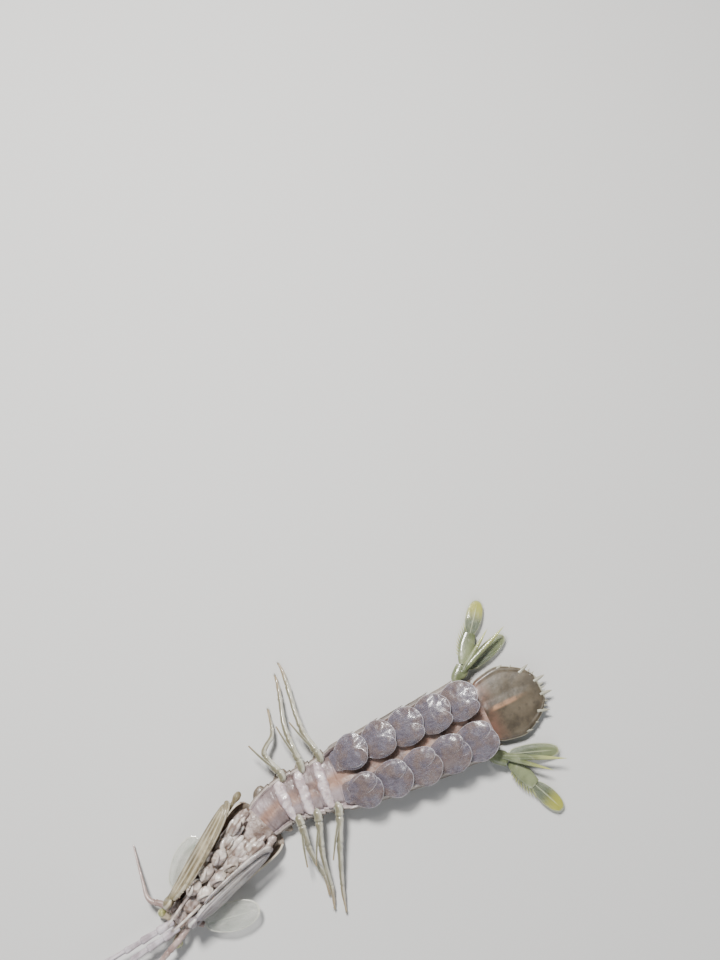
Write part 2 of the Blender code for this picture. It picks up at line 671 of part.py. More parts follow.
# The share along the palm, and its half width and half thickness
PALM_PROFILES = {
    "right": (
        (0.0, 1.5, 1.2), (0.10, 2.7, 1.5), (0.28, 3.5, 1.7), (0.55, 3.6, 1.7), (0.80, 3.1, 1.6),
        (0.93, 2.3, 1.3), (1.0, 1.4, 1.0),
    ),
    "left": (
        (0.0, 1.6, 1.3), (0.10, 3.0, 1.7), (0.28, 4.0, 1.9), (0.55, 4.1, 1.9), (0.80, 3.4, 1.7),
        (0.93, 2.5, 1.4), (1.0, 1.5, 1.1),
    ),
}
# The finger's two points round its hinge past the palm's end, by share and distance inward, then the
# shares along the palm where it lies beside the palm's edge
FINGER_HINGE = ((1.05, 0.2), (1.035, 2.1))
FINGER_SHARES = (0.965, 0.84, 0.62, 0.38, 0.24, 0.17)
FINGER_SIZES = (
    (1.0, 1.1), (1.1, 1.1), (1.0, 1.0), (1.0, 1.0), (0.85, 0.9), (0.7, 0.75), (0.5, 0.55), (0.0, 0.0),
)
FINGER_CLEARANCE = 1.6
CLAW_TEETH = 8


def claw_point(name, x, y, z):
    return Vector((SIDES[name] * (x + CLAW_OUT[name]), y + CLAW_SLIDE[name], z))


def palm_point(name, share, inward=0.0, above=0.0):
    """A point by its share along the palm, its distance towards the finger and its height over the face."""
    side = SIDES[name]
    start, bearing, bowing = PALM_BEARING[name]
    x = start + bearing * share + bowing * share * share
    z = 14.6 + 1.0 * (1.0 - share) ** 6
    middle = claw_point(name, x, 3.9 + PALM_LENGTH[name] * share, z)
    across = Vector((-side * math.cos(PALM_TILT), 0.0, math.sin(PALM_TILT)))
    face = Vector((side * math.sin(PALM_TILT), 0.0, math.cos(PALM_TILT)))
    return middle + across * inward + face * above


def palm_half_width(name, share):
    profile = PALM_PROFILES[name]
    for (near, near_width, _), (far, far_width, _) in zip(profile, profile[1:]):
        if share <= far:
            return near_width + (far_width - near_width) * (share - near) / (far - near)
    return profile[-1][1]


# The knuckle that stands out behind the left finger's hinge
KNUCKLE_PATH = ((11.2, 41.4, 14.2), (11.6, 44.6, 13.6), (12.1, 47.4, 13.2))
KNUCKLE_SIZES = ((1.0, 1.0), (0.9, 0.9), (1.5, 1.4))


def claw(name, side):
    # The arm, from its root beside the mouth forward to the wrist, which turns up to the palm
    arm_stops = ((6.6, 31.0, 8.4), (7.4, 27.0, 8.6), (7.2, 18.0, 8.7), (6.5, 9.0, 9.1), (5.6, 3.6, 10.2))
    arm_path = [claw_point(name, *stop) for stop in arm_stops]
    arm = limb(arm_path, ((1.0, 1.1), (2.2, 2.2), (2.4, 2.3), (2.2, 2.2), (1.7, 1.8)), 8)
    wrist_stops = ((5.7, 4.6, 10.0), (5.3, 1.4, 11.2), (5.1, 0.6, 13.2), (4.9, 2.0, 15.2))
    wrist_path = [claw_point(name, *stop) for stop in wrist_stops]
    wrist = limb(wrist_path, ((1.7, 1.7), (1.9, 2.0), (1.8, 1.9), (1.2, 1.3)), 8, Vector((1.0, 0.0, 0.0)))
    node(f"claw_arm_{name}", [arm, wrist], arm_path[0], "claw", CLAW_STATION)

    # The palm, a long flat blade back over the arm, its outer edge lower
    path = [palm_point(name, share) for share, _, _ in PALM_PROFILES[name]]
    face = Vector((side * math.sin(PALM_TILT), 0.0, math.cos(PALM_TILT)))
    sizes = [(half_width, half_depth) for _, half_width, half_depth in PALM_PROFILES[name]]
    palm = limb(path, sizes, 10, face, roundness=0.85)
    hinge = palm_point(name, *FINGER_HINGE[0])
    node(f"claw_palm_{name}", [palm], path[0], "claw", CLAW_STATION)

    # The finger, folded forward again along the palm's inner edge, its teeth towards the palm
    finger_path = [palm_point(name, share, inward) for share, inward in FINGER_HINGE]
    for share in FINGER_SHARES:
        finger_path.append(palm_point(name, share, palm_half_width(name, share) + FINGER_CLEARANCE))
    pieces = [limb(finger_path, FINGER_SIZES, 6, face)]
    if name == "left":
        pieces.append(limb([claw_point(name, *stop) for stop in KNUCKLE_PATH], KNUCKLE_SIZES, 7))
    for index in range(CLAW_TEETH):
        share = FINGER_SHARES[1] + (FINGER_SHARES[-2] - FINGER_SHARES[1]) * index / (CLAW_TEETH - 1.0)
        edge = palm_half_width(name, share)
        root = palm_point(name, share, edge + FINGER_CLEARANCE)
        tip = palm_point(name, share + 0.012, edge + GAP + 0.15)
        pieces.append(spine(root, tip, 0.42))
    node(f"claw_finger_{name}", pieces, hinge, "claw", CLAW_STATION)


# The three pairs of small grasping limbs between the claws, and their round hands

# Each hand's distance from the rostral tip, its distance out, how far out its arm lies, and how much
# the arm has risen at its elbow
HANDS = ((19.6, 2.5, 1.2, 0.4), (26.7, 2.6, 3.3, 0.4), (34.0, 2.7, 5.3, 1.7))
HAND_HALF_SIZES = (2.3, 3.3, 1.55)
HAND_LEVEL = 15.2
# The hands lie a little to the left of the mouth's line
HAND_SHIFT = -1.0
HAND_STAGGER = {"right": 0.0, "left": -1.2}


def small_graspers():
    for name, side in SIDES.items():
        for index, (hand_y, hand_x, arm_x, rise) in enumerate(HANDS):
            y = hand_y + HAND_STAGGER[name]
            centre = Vector((side * hand_x + HAND_SHIFT, y, HAND_LEVEL))
            hand = ball(centre, HAND_HALF_SIZES, 10, 6)
            arm_level = Vector((side * arm_x + HAND_SHIFT, 0.0, 12.6))
            root = arm_level + Vector((0.0, 42.0 + 2.6 * index, -0.3))
            arm_path = (
                root, arm_level + Vector((0.0, y + 9.0, 0.0)), arm_level + Vector((0.0, y + 5.0, rise)),
                Vector((side * hand_x + HAND_SHIFT, y + 1.8, 14.6)),
            )
            arm = limb(arm_path, ((0.9, 0.8), (1.0, 0.85), (0.8, 0.75), (0.9, 0.75)), 6)
            hook_root = centre + Vector((-side * 0.4, -2.0, 0.7))
            hook_middle = hook_root + Vector((side * 0.1, 1.6, 1.15))
            hook_tip = hook_root + Vector((side * 1.3, 3.6, 1.3))
            hook = limb((hook_root, hook_middle, hook_tip), ((0.6, 0.5), (0.45, 0.4), (0.0, 0.0)), 5)
            node(f"maxilliped_{index + 3}_{name}", [hand, arm, hook], root, "limb")


# The walking legs, thin and limp, all their tips just off the floor

LEG_SHARE = 0.66
# For each leg, how far its joints and its tip lie from its root: outwards, along the body, and their level
LEG_PATHS = {
    ("right", 6): ((11.7, -0.9, 7.0), (23.5, 0.2, 3.0), (30.0, -0.9, 1.2)),
    ("right", 7): ((13.3, -3.3, 7.0), (27.2, -4.6, 3.0), (35.0, -6.2, 1.2)),
    ("right", 8): ((13.7, -5.0, 7.2), (27.5, -9.4, 3.2), (36.8, -11.4, 1.2)),
    ("left", 6): ((10.3, -3.0, 8.0), (16.0, 2.6, 5.0), (26.0, 4.6, 1.2)),
    ("left", 7): ((15.3, -1.2, 7.2), (31.0, 1.2, 3.0), (37.6, 1.6, 1.2)),
    ("left", 8): ((13.2, -3.0, 7.4), (35.0, -2.4, 2.2), (41.0, -3.0, 1.2)),
}
LEG_SIZES = ((1.65, 1.5), (1.15, 1.1), (0.85, 0.8), (0.35, 0.3))
TWIG_LENGTH = 13.0


def leg(name, side, number):
    station = STATION["thorax", number] + LEG_SHARE * THORAX[number]
    root = Vector((side * (THORAX_WIDTHS[number][0] + 0.5), station, THORAX_HEIGHTS[number] * 0.90))
    path = [root]
    for out, along, level in LEG_PATHS[name, number]:
        path.append(Vector((root.x + side * out, station + along, level)))
    stem = limb(path, LEG_SIZES, 7)
    hip = root.lerp(path[1], 0.30)
    twig_end = hip + (path[1] - root).normalized() * TWIG_LENGTH + Vector((0.0, -2.8, 3.0))
    twig_path = (root.lerp(path[1], 0.12), hip.lerp(twig_end, 0.45) + Vector((0.0, -0.5, 0.6)), twig_end)
    twig = limb(twig_path, ((0.7, 0.7), (0.5, 0.5), (0.3, 0.3)), 5)
    node(f"leg_{number - 5}_{name}", [stem, twig], root, "pale", station)


# The swimmerets, shingled along the belly, each with its tuft of gill filaments under the outer leaf

SWIMMERET_SLOPE = math.tan(math.radians(12.0))
# Each pair's length from root to tip, growing towards the tail
SWIMMERET_REACH = {1: 15.6, 2: 16.4, 3: 17.2, 4: 17.9, 5: 18.4}
# The inner leaves of both sides nearly meet at the midline
INNER_LEAF_OUT = 5.0


GILL_COUNT = 4
GILL_SIZES = ((0.35, 0.35), (0.3, 0.3), (0.0, 0.0))


def swimmeret(name, side, number):
    front = STATION["abdomen", number]
    height, half_width = ABDOMEN_HEIGHTS[number], ABDOMEN_WIDTHS[number][0]
    reach = SWIMMERET_REACH[number]
    root = Vector((side * 0.48 * half_width, front + 1.2, 0.92 * height + 1.0))
    shoulder = root + Vector((side * 0.6, 4.0, 4.0 * SWIMMERET_SLOPE))
    stock_sizes = ((3.4, 0.75), (4.4, 0.8), (4.2, 0.6))
    stock = limb((root, root.lerp(shoulder, 0.5), shoulder), stock_sizes, 8, roundness=0.7)
    outer_start = shoulder + Vector((side * 1.4, -2.4, -0.15))
    outer_length = reach - 1.6
    outer_end = outer_start + Vector((side * 0.4, outer_length, outer_length * SWIMMERET_SLOPE + 0.4))
    outer = leaf(outer_start, outer_end, 6.8, 0.6, 0.9, -side * 9.0)
    inner_start = Vector((side * INNER_LEAF_OUT, shoulder.y - 2.0, shoulder.z + 0.25))
    inner_length = reach - 3.2
    inner_end = inner_start + Vector((-side * 0.2, inner_length, inner_length * SWIMMERET_SLOPE + 1.1))
    inner = leaf(inner_start, inner_end, 4.1, 0.6, 0.6, side * 5.0, 12)
    gills = []
    for index in range(GILL_COUNT):
        foot = root + Vector((side * (2.4 + 0.25 * index), 0.8 + 0.8 * index, -0.15))
        bend = foot + Vector((side * (1.0 - 0.15 * index), 1.8, -0.55))
        tip = foot + Vector((side * (1.3 - 0.25 * index), 4.4, -0.5))
        gills.append(limb((foot, bend, tip), GILL_SIZES, 5))
    node(f"swimmeret_{number}_{name}", [stock, outer, inner] + gills, root, "swimmeret")


# Everything in order, then the whole animal centred over the origin

def clear_scene():
    for old in list(bpy.data.objects):
        bpy.data.objects.remove(old)


def centre_on_origin():
    """Moves the body's empty so that the box round every part stands on the origin."""
    bpy.context.view_layer.update()
    solids = [made for made in PARTS.objects if made.type == "MESH"]
    corners = [made.matrix_world @ vertex.co for made in solids for vertex in made.data.vertices]
    low = Vector(min(point[axis] for point in corners) for axis in range(3))
    high = Vector(max(point[axis] for point in corners) for axis in range(3))
    BODY.location = Vector((-(low.x + high.x) / 2.0, -(low.y + high.y) / 2.0, -low.z))


clear_scene()
PARTS = new_collection("mantis_shrimp")
BODY = bpy.data.objects.new("body", None)
PARTS.objects.link(BODY)

carapace()
head()
mouthparts()
eyes()
antennules()
antennae()
small_graspers()
thorax()
abdomen()
telson()
for side_name, side_sign in SIDES.items():
    claw(side_name, side_sign)
    uropod(side_name, side_sign)
    for ring_number in (6, 7, 8):
        leg(side_name, side_sign, ring_number)
    for ring_number in (1, 2, 3, 4, 5):
        swimmeret(side_name, side_sign, ring_number)
centre_on_origin()
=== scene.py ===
"""A harpoon mantis shrimp on its back, as a museum would show it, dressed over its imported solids.

Places are drawn in millimetres in body space, where the animal is straight: X runs to its right, Y from
the tip of the rostral plate to the tail, and Z from the back on the floor up to the belly.
"""

import math
import random

import bmesh
import bpy
from mathutils import Matrix, Vector, noise


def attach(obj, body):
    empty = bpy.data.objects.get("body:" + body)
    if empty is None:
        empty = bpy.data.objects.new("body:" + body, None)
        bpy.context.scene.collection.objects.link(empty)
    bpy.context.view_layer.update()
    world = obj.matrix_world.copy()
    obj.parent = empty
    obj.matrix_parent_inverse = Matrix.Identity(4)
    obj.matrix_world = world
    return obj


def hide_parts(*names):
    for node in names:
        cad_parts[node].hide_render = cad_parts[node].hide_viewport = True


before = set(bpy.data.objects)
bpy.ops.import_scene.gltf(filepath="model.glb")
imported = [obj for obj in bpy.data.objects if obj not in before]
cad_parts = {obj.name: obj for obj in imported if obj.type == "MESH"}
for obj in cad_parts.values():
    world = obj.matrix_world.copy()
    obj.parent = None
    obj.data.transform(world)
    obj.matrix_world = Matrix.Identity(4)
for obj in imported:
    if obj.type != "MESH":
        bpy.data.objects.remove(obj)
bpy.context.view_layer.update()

# The trunk is ten rings of thin wet shell, each a back plate with its flanks and a soft breastplate.
# The rear margin of each laps over the front of the next, and thin skin between them lets them slide.
# Its midline bends to one side at the neck and runs nearly straight from there to the tail.

MM = 0.001
UP = Vector((0.0, 0.0, 1.0))
SIDES = {"right": 1, "left": -1}
ROSTRAL_PLATE = 7.5
CARAPACE = 45.5
THORAX = {5: 8.5, 6: 8.0, 7: 8.0, 8: 8.5}
ABDOMEN = {1: 11.6, 2: 11.6, 3: 11.6, 4: 11.6, 5: 11.6, 6: 8.0}
TELSON = 26.0
THORAX_WIDTHS = {5: (8.6, 9.2), 6: (9.4, 10.0), 7: (10.1, 10.7), 8: (10.8, 11.8)}
THORAX_HEIGHTS = {5: 9.0, 6: 9.6, 7: 9.9, 8: 10.2}
ABDOMEN_WIDTHS = {
    1: (12.8, 13.9), 2: (13.9, 14.9), 3: (14.9, 15.6), 4: (15.5, 16.1), 5: (15.9, 16.2), 6: (15.2, 13.4),
}
ABDOMEN_HEIGHTS = {1: 10.8, 2: 11.2, 3: 11.5, 4: 11.5, 5: 11.2, 6: 9.0}
# The midline's heading in degrees, at a distance from the rostral plate's tip
HEADINGS = ((53.0, 15.5), (71.0, -12.5), (90.0, -11.0), (150.0, -8.5))
MIDLINE_START = HEADINGS[0][0]
MIDLINE_STEP = 0.5

STATION = {}
reach = ROSTRAL_PLATE + CARAPACE
for number, length in THORAX.items():
    STATION["thorax", number] = reach
    reach += length
for number, length in ABDOMEN.items():
    STATION["abdomen", number] = reach
    reach += length
STATION["telson"] = reach


def eased(share):
    share = min(max(share, 0.0), 1.0)
    return share * share * (3.0 - 2.0 * share)


def hump(distance, breadth=1.0):
    """1 in the middle of a ridge or furrow, and dying away to both sides of it."""
    return math.exp(-((distance / breadth) ** 2))


def squared(value, power):
    """A cosine or sine drawn out, so that a round section with a power under 1 gets squarer."""
    return math.copysign(abs(value) ** power, value)


def heading(y):
    """The midline's direction at y, in radians."""
    near_y, near_angle = HEADINGS[0]
    if y <= near_y:
        return math.radians(near_angle)
    for far_y, far_angle in HEADINGS[1:]:
        if y <= far_y:
            share = eased((y - near_y) / (far_y - near_y))
            return math.radians(near_angle + (far_angle - near_angle) * share)
        near_y, near_angle = far_y, far_angle
    return math.radians(near_angle)


def tailward(angle):
    return Vector((-math.sin(angle), math.cos(angle), 0.0))


MIDLINE = [Vector((0.0, MIDLINE_START, 0.0))]
for index in range(int((STATION["telson"] + TELSON - MIDLINE_START) / MIDLINE_STEP) + 1):
    angle = heading(MIDLINE_START + (index + 0.5) * MIDLINE_STEP)
    MIDLINE.append(MIDLINE[-1] + MIDLINE_STEP * tailward(angle))


def bent(point, station=None):
    """Body space to the bent animal. With a station, the piece is turned whole, by the bend there."""
    y = point.y if station is None else station
    angle = heading(y)
    if y <= MIDLINE_START:
        middle = MIDLINE[0] + (y - MIDLINE_START) * tailward(angle)
    else:
        steps = (y - MIDLINE_START) / MIDLINE_STEP
        near = min(int(steps), len(MIDLINE) - 2)
        middle = MIDLINE[near].lerp(MIDLINE[near + 1], steps - near)
    across = Vector((math.cos(angle), math.sin(angle), 0.0))
    return middle + (point.y - y) * tailward(angle) + point.x * across + point.z * UP


# The solids stand where the rostral plate's tip says
ROSTRAL_TIP = Vector((0.0, 0.0, 1.8))
rostral_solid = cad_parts["rostral_plate"].data
packed_tip = min((vertex.co for vertex in rostral_solid.vertices), key=lambda co: co.y)
OFFSET = packed_tip - bent(ROSTRAL_TIP) * MM


def curve(stops, count):
    """Evenly spaced stops along a smooth line through the given ones, whose first values are a place."""
    spans = [math.dist(near[:3], far[:3]) for near, far in zip(stops, stops[1:])]
    total, found = sum(spans), []
    for index in range(count):
        left, i = total * index / (count - 1), 0
        while i < len(spans) - 1 and left > spans[i]:
            left -= spans[i]
            i += 1
        t = min(left / spans[i], 1.0)
        four = [stops[max(i - 1, 0)], stops[i], stops[i + 1], stops[min(i + 2, len(stops) - 1)]]
        found.append(tuple(
            0.5 * (
                2 * b + (c - a) * t + (2 * a - 5 * b + 4 * c - d) * t * t + (3 * b - a - 3 * c + d) * t ** 3
            )
            for a, b, c, d in zip(*four)
        ))
    return found


def new_body():
    """An empty mesh whose points know their place on the piece: across, along, and how near the rim."""
    body = bmesh.new()
    body.verts.layers.float_vector.new("place")
    body.verts.layers.int.new("turn")
    return body


def places(body):
    return body.verts.layers.float_vector["place"]


def loft(body, rings):
    """A closed skin over rings of equal count, each a list of points with their places."""
    turn, place = body.verts.layers.int["turn"], places(body)
    ring_now = bmesh.ops.create_circle(body, segments=len(rings[0]))["verts"]
    for index, vertex in enumerate(ring_now):
        vertex[turn] = index
    edges = list(dict.fromkeys(edge for vertex in ring_now for edge in vertex.link_edges))
    bmesh.ops.edgeloop_fill(body, edges=edges)
    made = []
    for index, ring in enumerate(rings):
        if index:
            grown = bmesh.ops.extrude_edge_only(body, edges=edges)["geom"]
            ring_now = [part for part in grown if isinstance(part, bmesh.types.BMVert)]
            edges = [part for part in grown if isinstance(part, bmesh.types.BMEdge)]
        for vertex in ring_now:
            vertex.co, vertex[place] = ring[vertex[turn]]
        made += ring_now
    bmesh.ops.edgeloop_fill(body, edges=edges)
    return made


SHARP_EDGE = math.radians(50.0)


def finished(name, body, finish, nodes, station=None):
    """Bends a piece with the animal, sets it in its place and has it stand for its nodes."""
    bmesh.ops.recalc_face_normals(body, faces=body.faces)
    body.verts.layers.int.remove(body.verts.layers.int["turn"])
    for vertex in body.verts:
        vertex.co = bent(vertex.co, station) * MM + OFFSET
    mesh = bpy.data.meshes.new(name)
    body.to_mesh(mesh)
    body.free()
    mesh.materials.append(finish)
    mesh.shade_smooth()
    mesh.set_sharp_from_angle(angle=SHARP_EDGE)
    piece = bpy.data.objects.new(name, mesh)
    bpy.context.scene.collection.objects.link(piece)
    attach(piece, "root")
    if nodes:
        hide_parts(*nodes)
    return piece


class Paint:
    """One output of a material's nodes. Arithmetic on it adds Math nodes."""

    def __init__(self, tree, output):
        self.tree = tree
        self.output = output

    def node(self, kind, settings, inputs, output=0):
        """Adds a node. Its settings are made first, then the values or links of its sockets."""
        made = self.tree.nodes.new(kind)
        for name, value in settings.items():
            setattr(made, name, value)
        for name, value in inputs.items():
            if isinstance(value, Paint):
                self.tree.links.new(value.output, made.inputs[name])
            else:
                made.inputs[name].default_value = value
        return Paint(self.tree, made.outputs[output])

    def maths(self, operation, *values):
        return self.node("ShaderNodeMath", {"operation": operation}, dict(enumerate(values)))

    def __add__(self, other):
        return self.maths("ADD", self, other)

    def __mul__(self, other):
        return self.maths("MULTIPLY", self, other)

    def __abs__(self):
        return self.maths("ABSOLUTE", self)

    def capped(self):
        """The value, but never more than 1."""
        return self.maths("MINIMUM", self, 1.0)

    __radd__ = __add__
    __rmul__ = __mul__

    def noise(self, scale, detail=3.0, roughness=0.55):
        values = {"Vector": self, "Scale": scale, "Detail": detail, "Roughness": roughness}
        return self.node("ShaderNodeTexNoise", {}, values)

    def cells(self, scale):
        return self.node("ShaderNodeTexVoronoi", {}, {"Vector": self, "Scale": scale})

    def scaled(self, x, y):
        """Coordinates drawn out, so that a noise on them becomes streaks."""
        return self.node("ShaderNodeMapping", {}, {"Vector": self, "Scale": (x, y, 1.0)})

    def ramp(self, low, high):
        """0 below low and 1 above high, eased between them."""
        settings = {"interpolation_type": "SMOOTHSTEP"}
        return self.node("ShaderNodeMapRange", settings, {"Value": self, "From Min": low, "From Max": high})

    def mixed(self, low, high):
        """A colour from low to high by this mask."""
        return self.node("ShaderNodeMix", {"data_type": "RGBA"}, {0: self, 6: low, 7: high}, 2)


def rgb(red, green, blue):
    return (red, green, blue, 1.0)


class Finish:
    """A wet skin's material: its Object coordinates, its place on the piece, and its shader."""

    def __init__(self, name, roughness, **constants):
        self.material = bpy.data.materials.new(name)
        self.material.use_nodes = True
        tree = self.material.node_tree
        self.shader = tree.nodes["Principled BSDF"]
        base = {
            "Roughness": roughness, "Coat Weight": 0.25, "Coat Roughness": 0.06, "IOR": 1.45,
            "Subsurface Weight": 0.12, "Subsurface Scale": 0.002, "Subsurface Radius": (1.0, 0.7, 0.5),
        }
        base |= {key.replace("_", " "): value for key, value in constants.items()}
        for socket, value in base.items():
            self.shader.inputs[socket].default_value = value
        self.at = Paint(tree, tree.nodes.new("ShaderNodeTexCoord").outputs["Object"])
        place = self.at.node("ShaderNodeAttribute", {"attribute_name": "place"}, {}, "Vector")
        parts = [place.node("ShaderNodeSeparateXYZ", {}, {"Vector": place}, axis) for axis in "XYZ"]
        self.place = place
        self.across, self.along, self.rim = parts

    def surface(self, colour, height=None, depth=0.0002, roughness=None, alpha=None):
        """Links what varies over the surface, and returns the material."""
        links = {"Base Color": colour, "Roughness": roughness, "Alpha": alpha}
        if height is not None:
            values = {"Strength": 1.0, "Distance": depth, "Height": height}
            links["Normal"] = height.node("ShaderNodeBump", {}, values)
        for socket, value in links.items():
            if value is not None:
                value.tree.links.new(value.output, self.shader.inputs[socket])
        return self.material


def trunk_finish():
    """Lilac grey brown, speckled, with a warm strip down the belly and dark rear margins on the back."""
    shell = Finish("wet_trunk_shell", 0.34, Coat_Weight=0.15, Coat_Roughness=0.12)
    back = shell.rim.ramp(0.66, 0.62)
    cloud = shell.at.noise(90.0, 5.0)
    grain = shell.at.noise(900.0, 3.0)
    belly = cloud.ramp(0.35, 0.65).mixed(rgb(0.17, 0.125, 0.12), rgb(0.38, 0.31, 0.32))
    middle = abs(shell.across)
    strip = middle.ramp(0.40, 0.08) * cloud.ramp(0.30, 0.58) * 0.8
    belly = strip.mixed(belly, rgb(0.36, 0.20, 0.13))
    creases = shell.at.scaled(1.0, 3.5).noise(260.0, 4.0)
    belly = (creases.ramp(0.50, 0.70) * 0.35).mixed(belly, rgb(0.13, 0.085, 0.075))
    olive = cloud.ramp(0.35, 0.65).mixed(rgb(0.12, 0.095, 0.07), rgb(0.25, 0.20, 0.155))
    flank = shell.rim.ramp(0.36, 0.46)
    shade = cloud.ramp(0.40, 0.60).mixed(rgb(0.07, 0.05, 0.04), rgb(0.20, 0.16, 0.14))
    olive = (flank * 0.7).mixed(olive, shade)
    edge = shell.rim.ramp(0.592, 0.604) * shell.rim.ramp(0.640, 0.628)
    line = shell.rim.ramp(0.535, 0.542) * shell.rim.ramp(0.556, 0.549)
    olive = ((edge + line * 0.7) * cloud.ramp(0.25, 0.50) * 0.8).mixed(olive, rgb(0.46, 0.40, 0.37))
    colour = back.mixed(belly, olive)
    specks = shell.at.cells(1500.0).ramp(0.30, 0.10) * shell.at.noise(220.0).ramp(0.45, 0.65)
    colour = (specks * 0.6).mixed(colour, rgb(0.06, 0.045, 0.04))
    margin = shell.along.ramp(0.945, 0.985) * shell.rim.ramp(0.46, 0.40)
    colour = margin.mixed(colour, rgb(0.02, 0.015, 0.015))
    return shell.surface(colour, cloud + grain * 0.3 + creases * 0.4, 0.0005, 0.24 + 0.3 * grain)


# Half of a ring's section, from the middle of the back round to the middle of the belly, as shares of
# its half width and height: the back and the flank, the flank's free edge, then the breastplate
ABDOMEN_SECTION = (
    (0.0, 0.0), (0.22, 0.0), (0.52, 0.0), (0.78, 0.06), (0.93, 0.20), (1.00, 0.46), (0.99, 0.76),
    (0.95, 1.0), (0.86, 0.97), (0.79, 0.80), (0.64, 0.84), (0.30, 0.92), (0.0, 0.92),
)
THORAX_SECTION = (
    (0.0, 0.0), (0.22, 0.0), (0.55, 0.0), (0.82, 0.08), (0.96, 0.25), (1.00, 0.48), (0.97, 0.72),
    (0.84, 0.80), (0.76, 0.76), (0.66, 0.90), (0.26, 1.0), (0.0, 1.0),
)
HALF_POINTS = 44
# Along a ring: the share of its length, how much wider it flares and how far its back is off the floor.
# The first stops tuck under the ring in front, and the last turn in behind the ring's own rear margin.
RING_STOPS = (
    (-0.07, 0.93, 1.0), (0.0, 0.945, 0.75), (0.06, 0.958, 0.6), (0.12, 0.972, 0.5), (0.15, 0.99, 0.38),
    (0.24, 0.992, 0.34), (0.40, 0.996, 0.3), (0.58, 1.0, 0.3), (0.76, 1.01, 0.3), (0.90, 1.02, 0.3),
    (0.97, 1.032, 0.25), (1.03, 1.036, 0.22), (1.045, 1.03, 0.3), (1.03, 1.012, 0.45), (0.93, 0.985, 0.6),
)
REAR_MARGIN = 11
FLOOR_LEVEL = 0.02
# The breastplate's share round the half section, and the depth of its wrinkles and its middle furrow
BELLY_FROM, BELLY_WRINKLE, BELLY_FURROW = 0.66, 0.45, 0.2
# The ridges along each side: share round the half section, height, half breadth, and reach of the point
CARINAE = (
    (0.06, 0.30, 0.014, 0.5), (0.20, 0.32, 0.015, 0.9), (0.335, 0.45, 0.016, 1.3), (0.46, 0.5, 0.018, 1.6),
)


def trunk_ring(body, section, front, length, widths, height, carinae):
    half = curve([(u, v, 0.0) for u, v in section], HALF_POINTS)
    rings = []
    for stop, (share, flare, lift) in enumerate(RING_STOPS):
        half_width = (widths[0] + (widths[1] - widths[0]) * share) * flare
        ring = []
        for side, order in ((1, range(HALF_POINTS)), (-1, range(HALF_POINTS - 2, 0, -1))):
            for index in order:
                u, v, _ = half[index]
                round_share = index / (HALF_POINTS - 1.0)
                level = lift + v * (height * flare - lift)
                point = Vector((side * u * half_width, front + share * length, level))
                outward = Vector((side * u * 0.6, 0.0, v - 0.45)).normalized()
                for at, stand, breadth, point_reach in carinae:
                    ridge = hump(round_share - at, breadth)
                    point += outward * stand * ridge * eased(share / 0.3)
                    if stop <= REAR_MARGIN + 1:
                        point.y += point_reach * ridge * eased((share - 0.84) / 0.18)
                belly = eased((round_share - BELLY_FROM) / 0.1)
                wrinkle = noise.noise(Vector((point.x * 0.5, point.y * 1.3, 7.0))) * BELLY_WRINKLE
                furrow = hump(u, 0.16) * BELLY_FURROW
                point += outward * (0.12 * noise.noise(point * 0.35) + belly * (wrinkle - furrow))
                point.z = max(point.z, FLOOR_LEVEL)
                ring.append((point, (side * u, share, round_share)))
        rings.append(ring)
    return loft(body, rings)


RING_GROUPS = (
    ("neck", "thorax", THORAX, THORAX_WIDTHS, THORAX_HEIGHTS, THORAX_SECTION, CARINAE[1:3]),
    ("belly", "abdomen", ABDOMEN, ABDOMEN_WIDTHS, ABDOMEN_HEIGHTS, ABDOMEN_SECTION, CARINAE),
)
trunk_skin = trunk_finish()
for title, node, lengths, widths, heights, section, carinae in RING_GROUPS:
    for number, length in lengths.items():
        ring_body = new_body()
        front, height = STATION[node, number], heights[number]
        trunk_ring(ring_body, section, front, length, widths[number], height, carinae)
        finished(f"{title}_ring_{number}", ring_body, trunk_skin, [f"{node}_{number}"])

# The white bands are the swollen glands that a female carries across three breastplates of the neck.
# Each is a soft lobed cushion under thin skin, and lies flat on its plate from flank to flank.

BAND_SHARE = 0.40
BAND_HALF_LENGTH = 2.15
BAND_HALF_DEPTH = 0.8


def tube(body, stops, count=20, sides=12, above=UP, roundness=1.0, joints=(), mask=0.0, rings_cut=0.0):
    """A tapering limb through its stops: x, y, z, half width, half depth. It has knuckles at its joints."""
    line = curve([tuple(stop) for stop in stops], count)
    upward, rings = Vector(above), []
    for index, (x, y, z, wide, deep) in enumerate(line):
        before, after = line[max(index - 1, 0)], line[min(index + 1, count - 1)]
        along = (Vector(after[:3]) - Vector(before[:3])).normalized()
        across = along.cross(upward).normalized()
        upward = across.cross(along)
        share = index / (count - 1.0)
        swell = 1.0 - rings_cut * (index % 2)
        for joint, half in joints:
            off = (share - joint) / half
            swell *= 1.0 + 0.13 * hump(off + 1.4) + 0.08 * hump(off - 1.5)
            swell *= 1.0 - 0.20 * math.exp(-2.5 * off * off)
        wide, deep = max(wide, 0.03) * swell, max(deep, 0.03) * swell
        ring = []
        for j in range(sides):
            angle = 2.0 * math.pi * (j + 0.5) / sides
            u, v = squared(math.cos(angle), roundness), squared(math.sin(angle), roundness)
            ring.append((Vector((x, y, z)) + across * wide * u + upward * deep * v, (u, share, mask)))
        rings.append(ring)
    return loft(body, rings)


def sized(points, sizes):
    """A tube's stops, from its points and the half width and half depth at each."""
    return [(*point, *size) for point, size in zip(points, sizes)]


def roughen(body, vertices, size, amount, painted_dent_shade=0.0):
    """Swells and dents a form a little, as soft parts are. Its last argument marks the dents below 0 on its
    place, for the painted shade that the finish puts in them.
    """
    place = places(body)
    body.normal_update()
    for vertex in vertices:
        swell = noise.noise(vertex.co / size)
        vertex.co += vertex.normal * amount * swell
        across, along, mark = vertex[place]
        vertex[place] = (across, along, mark + painted_dent_shade * min(swell, 0.0))


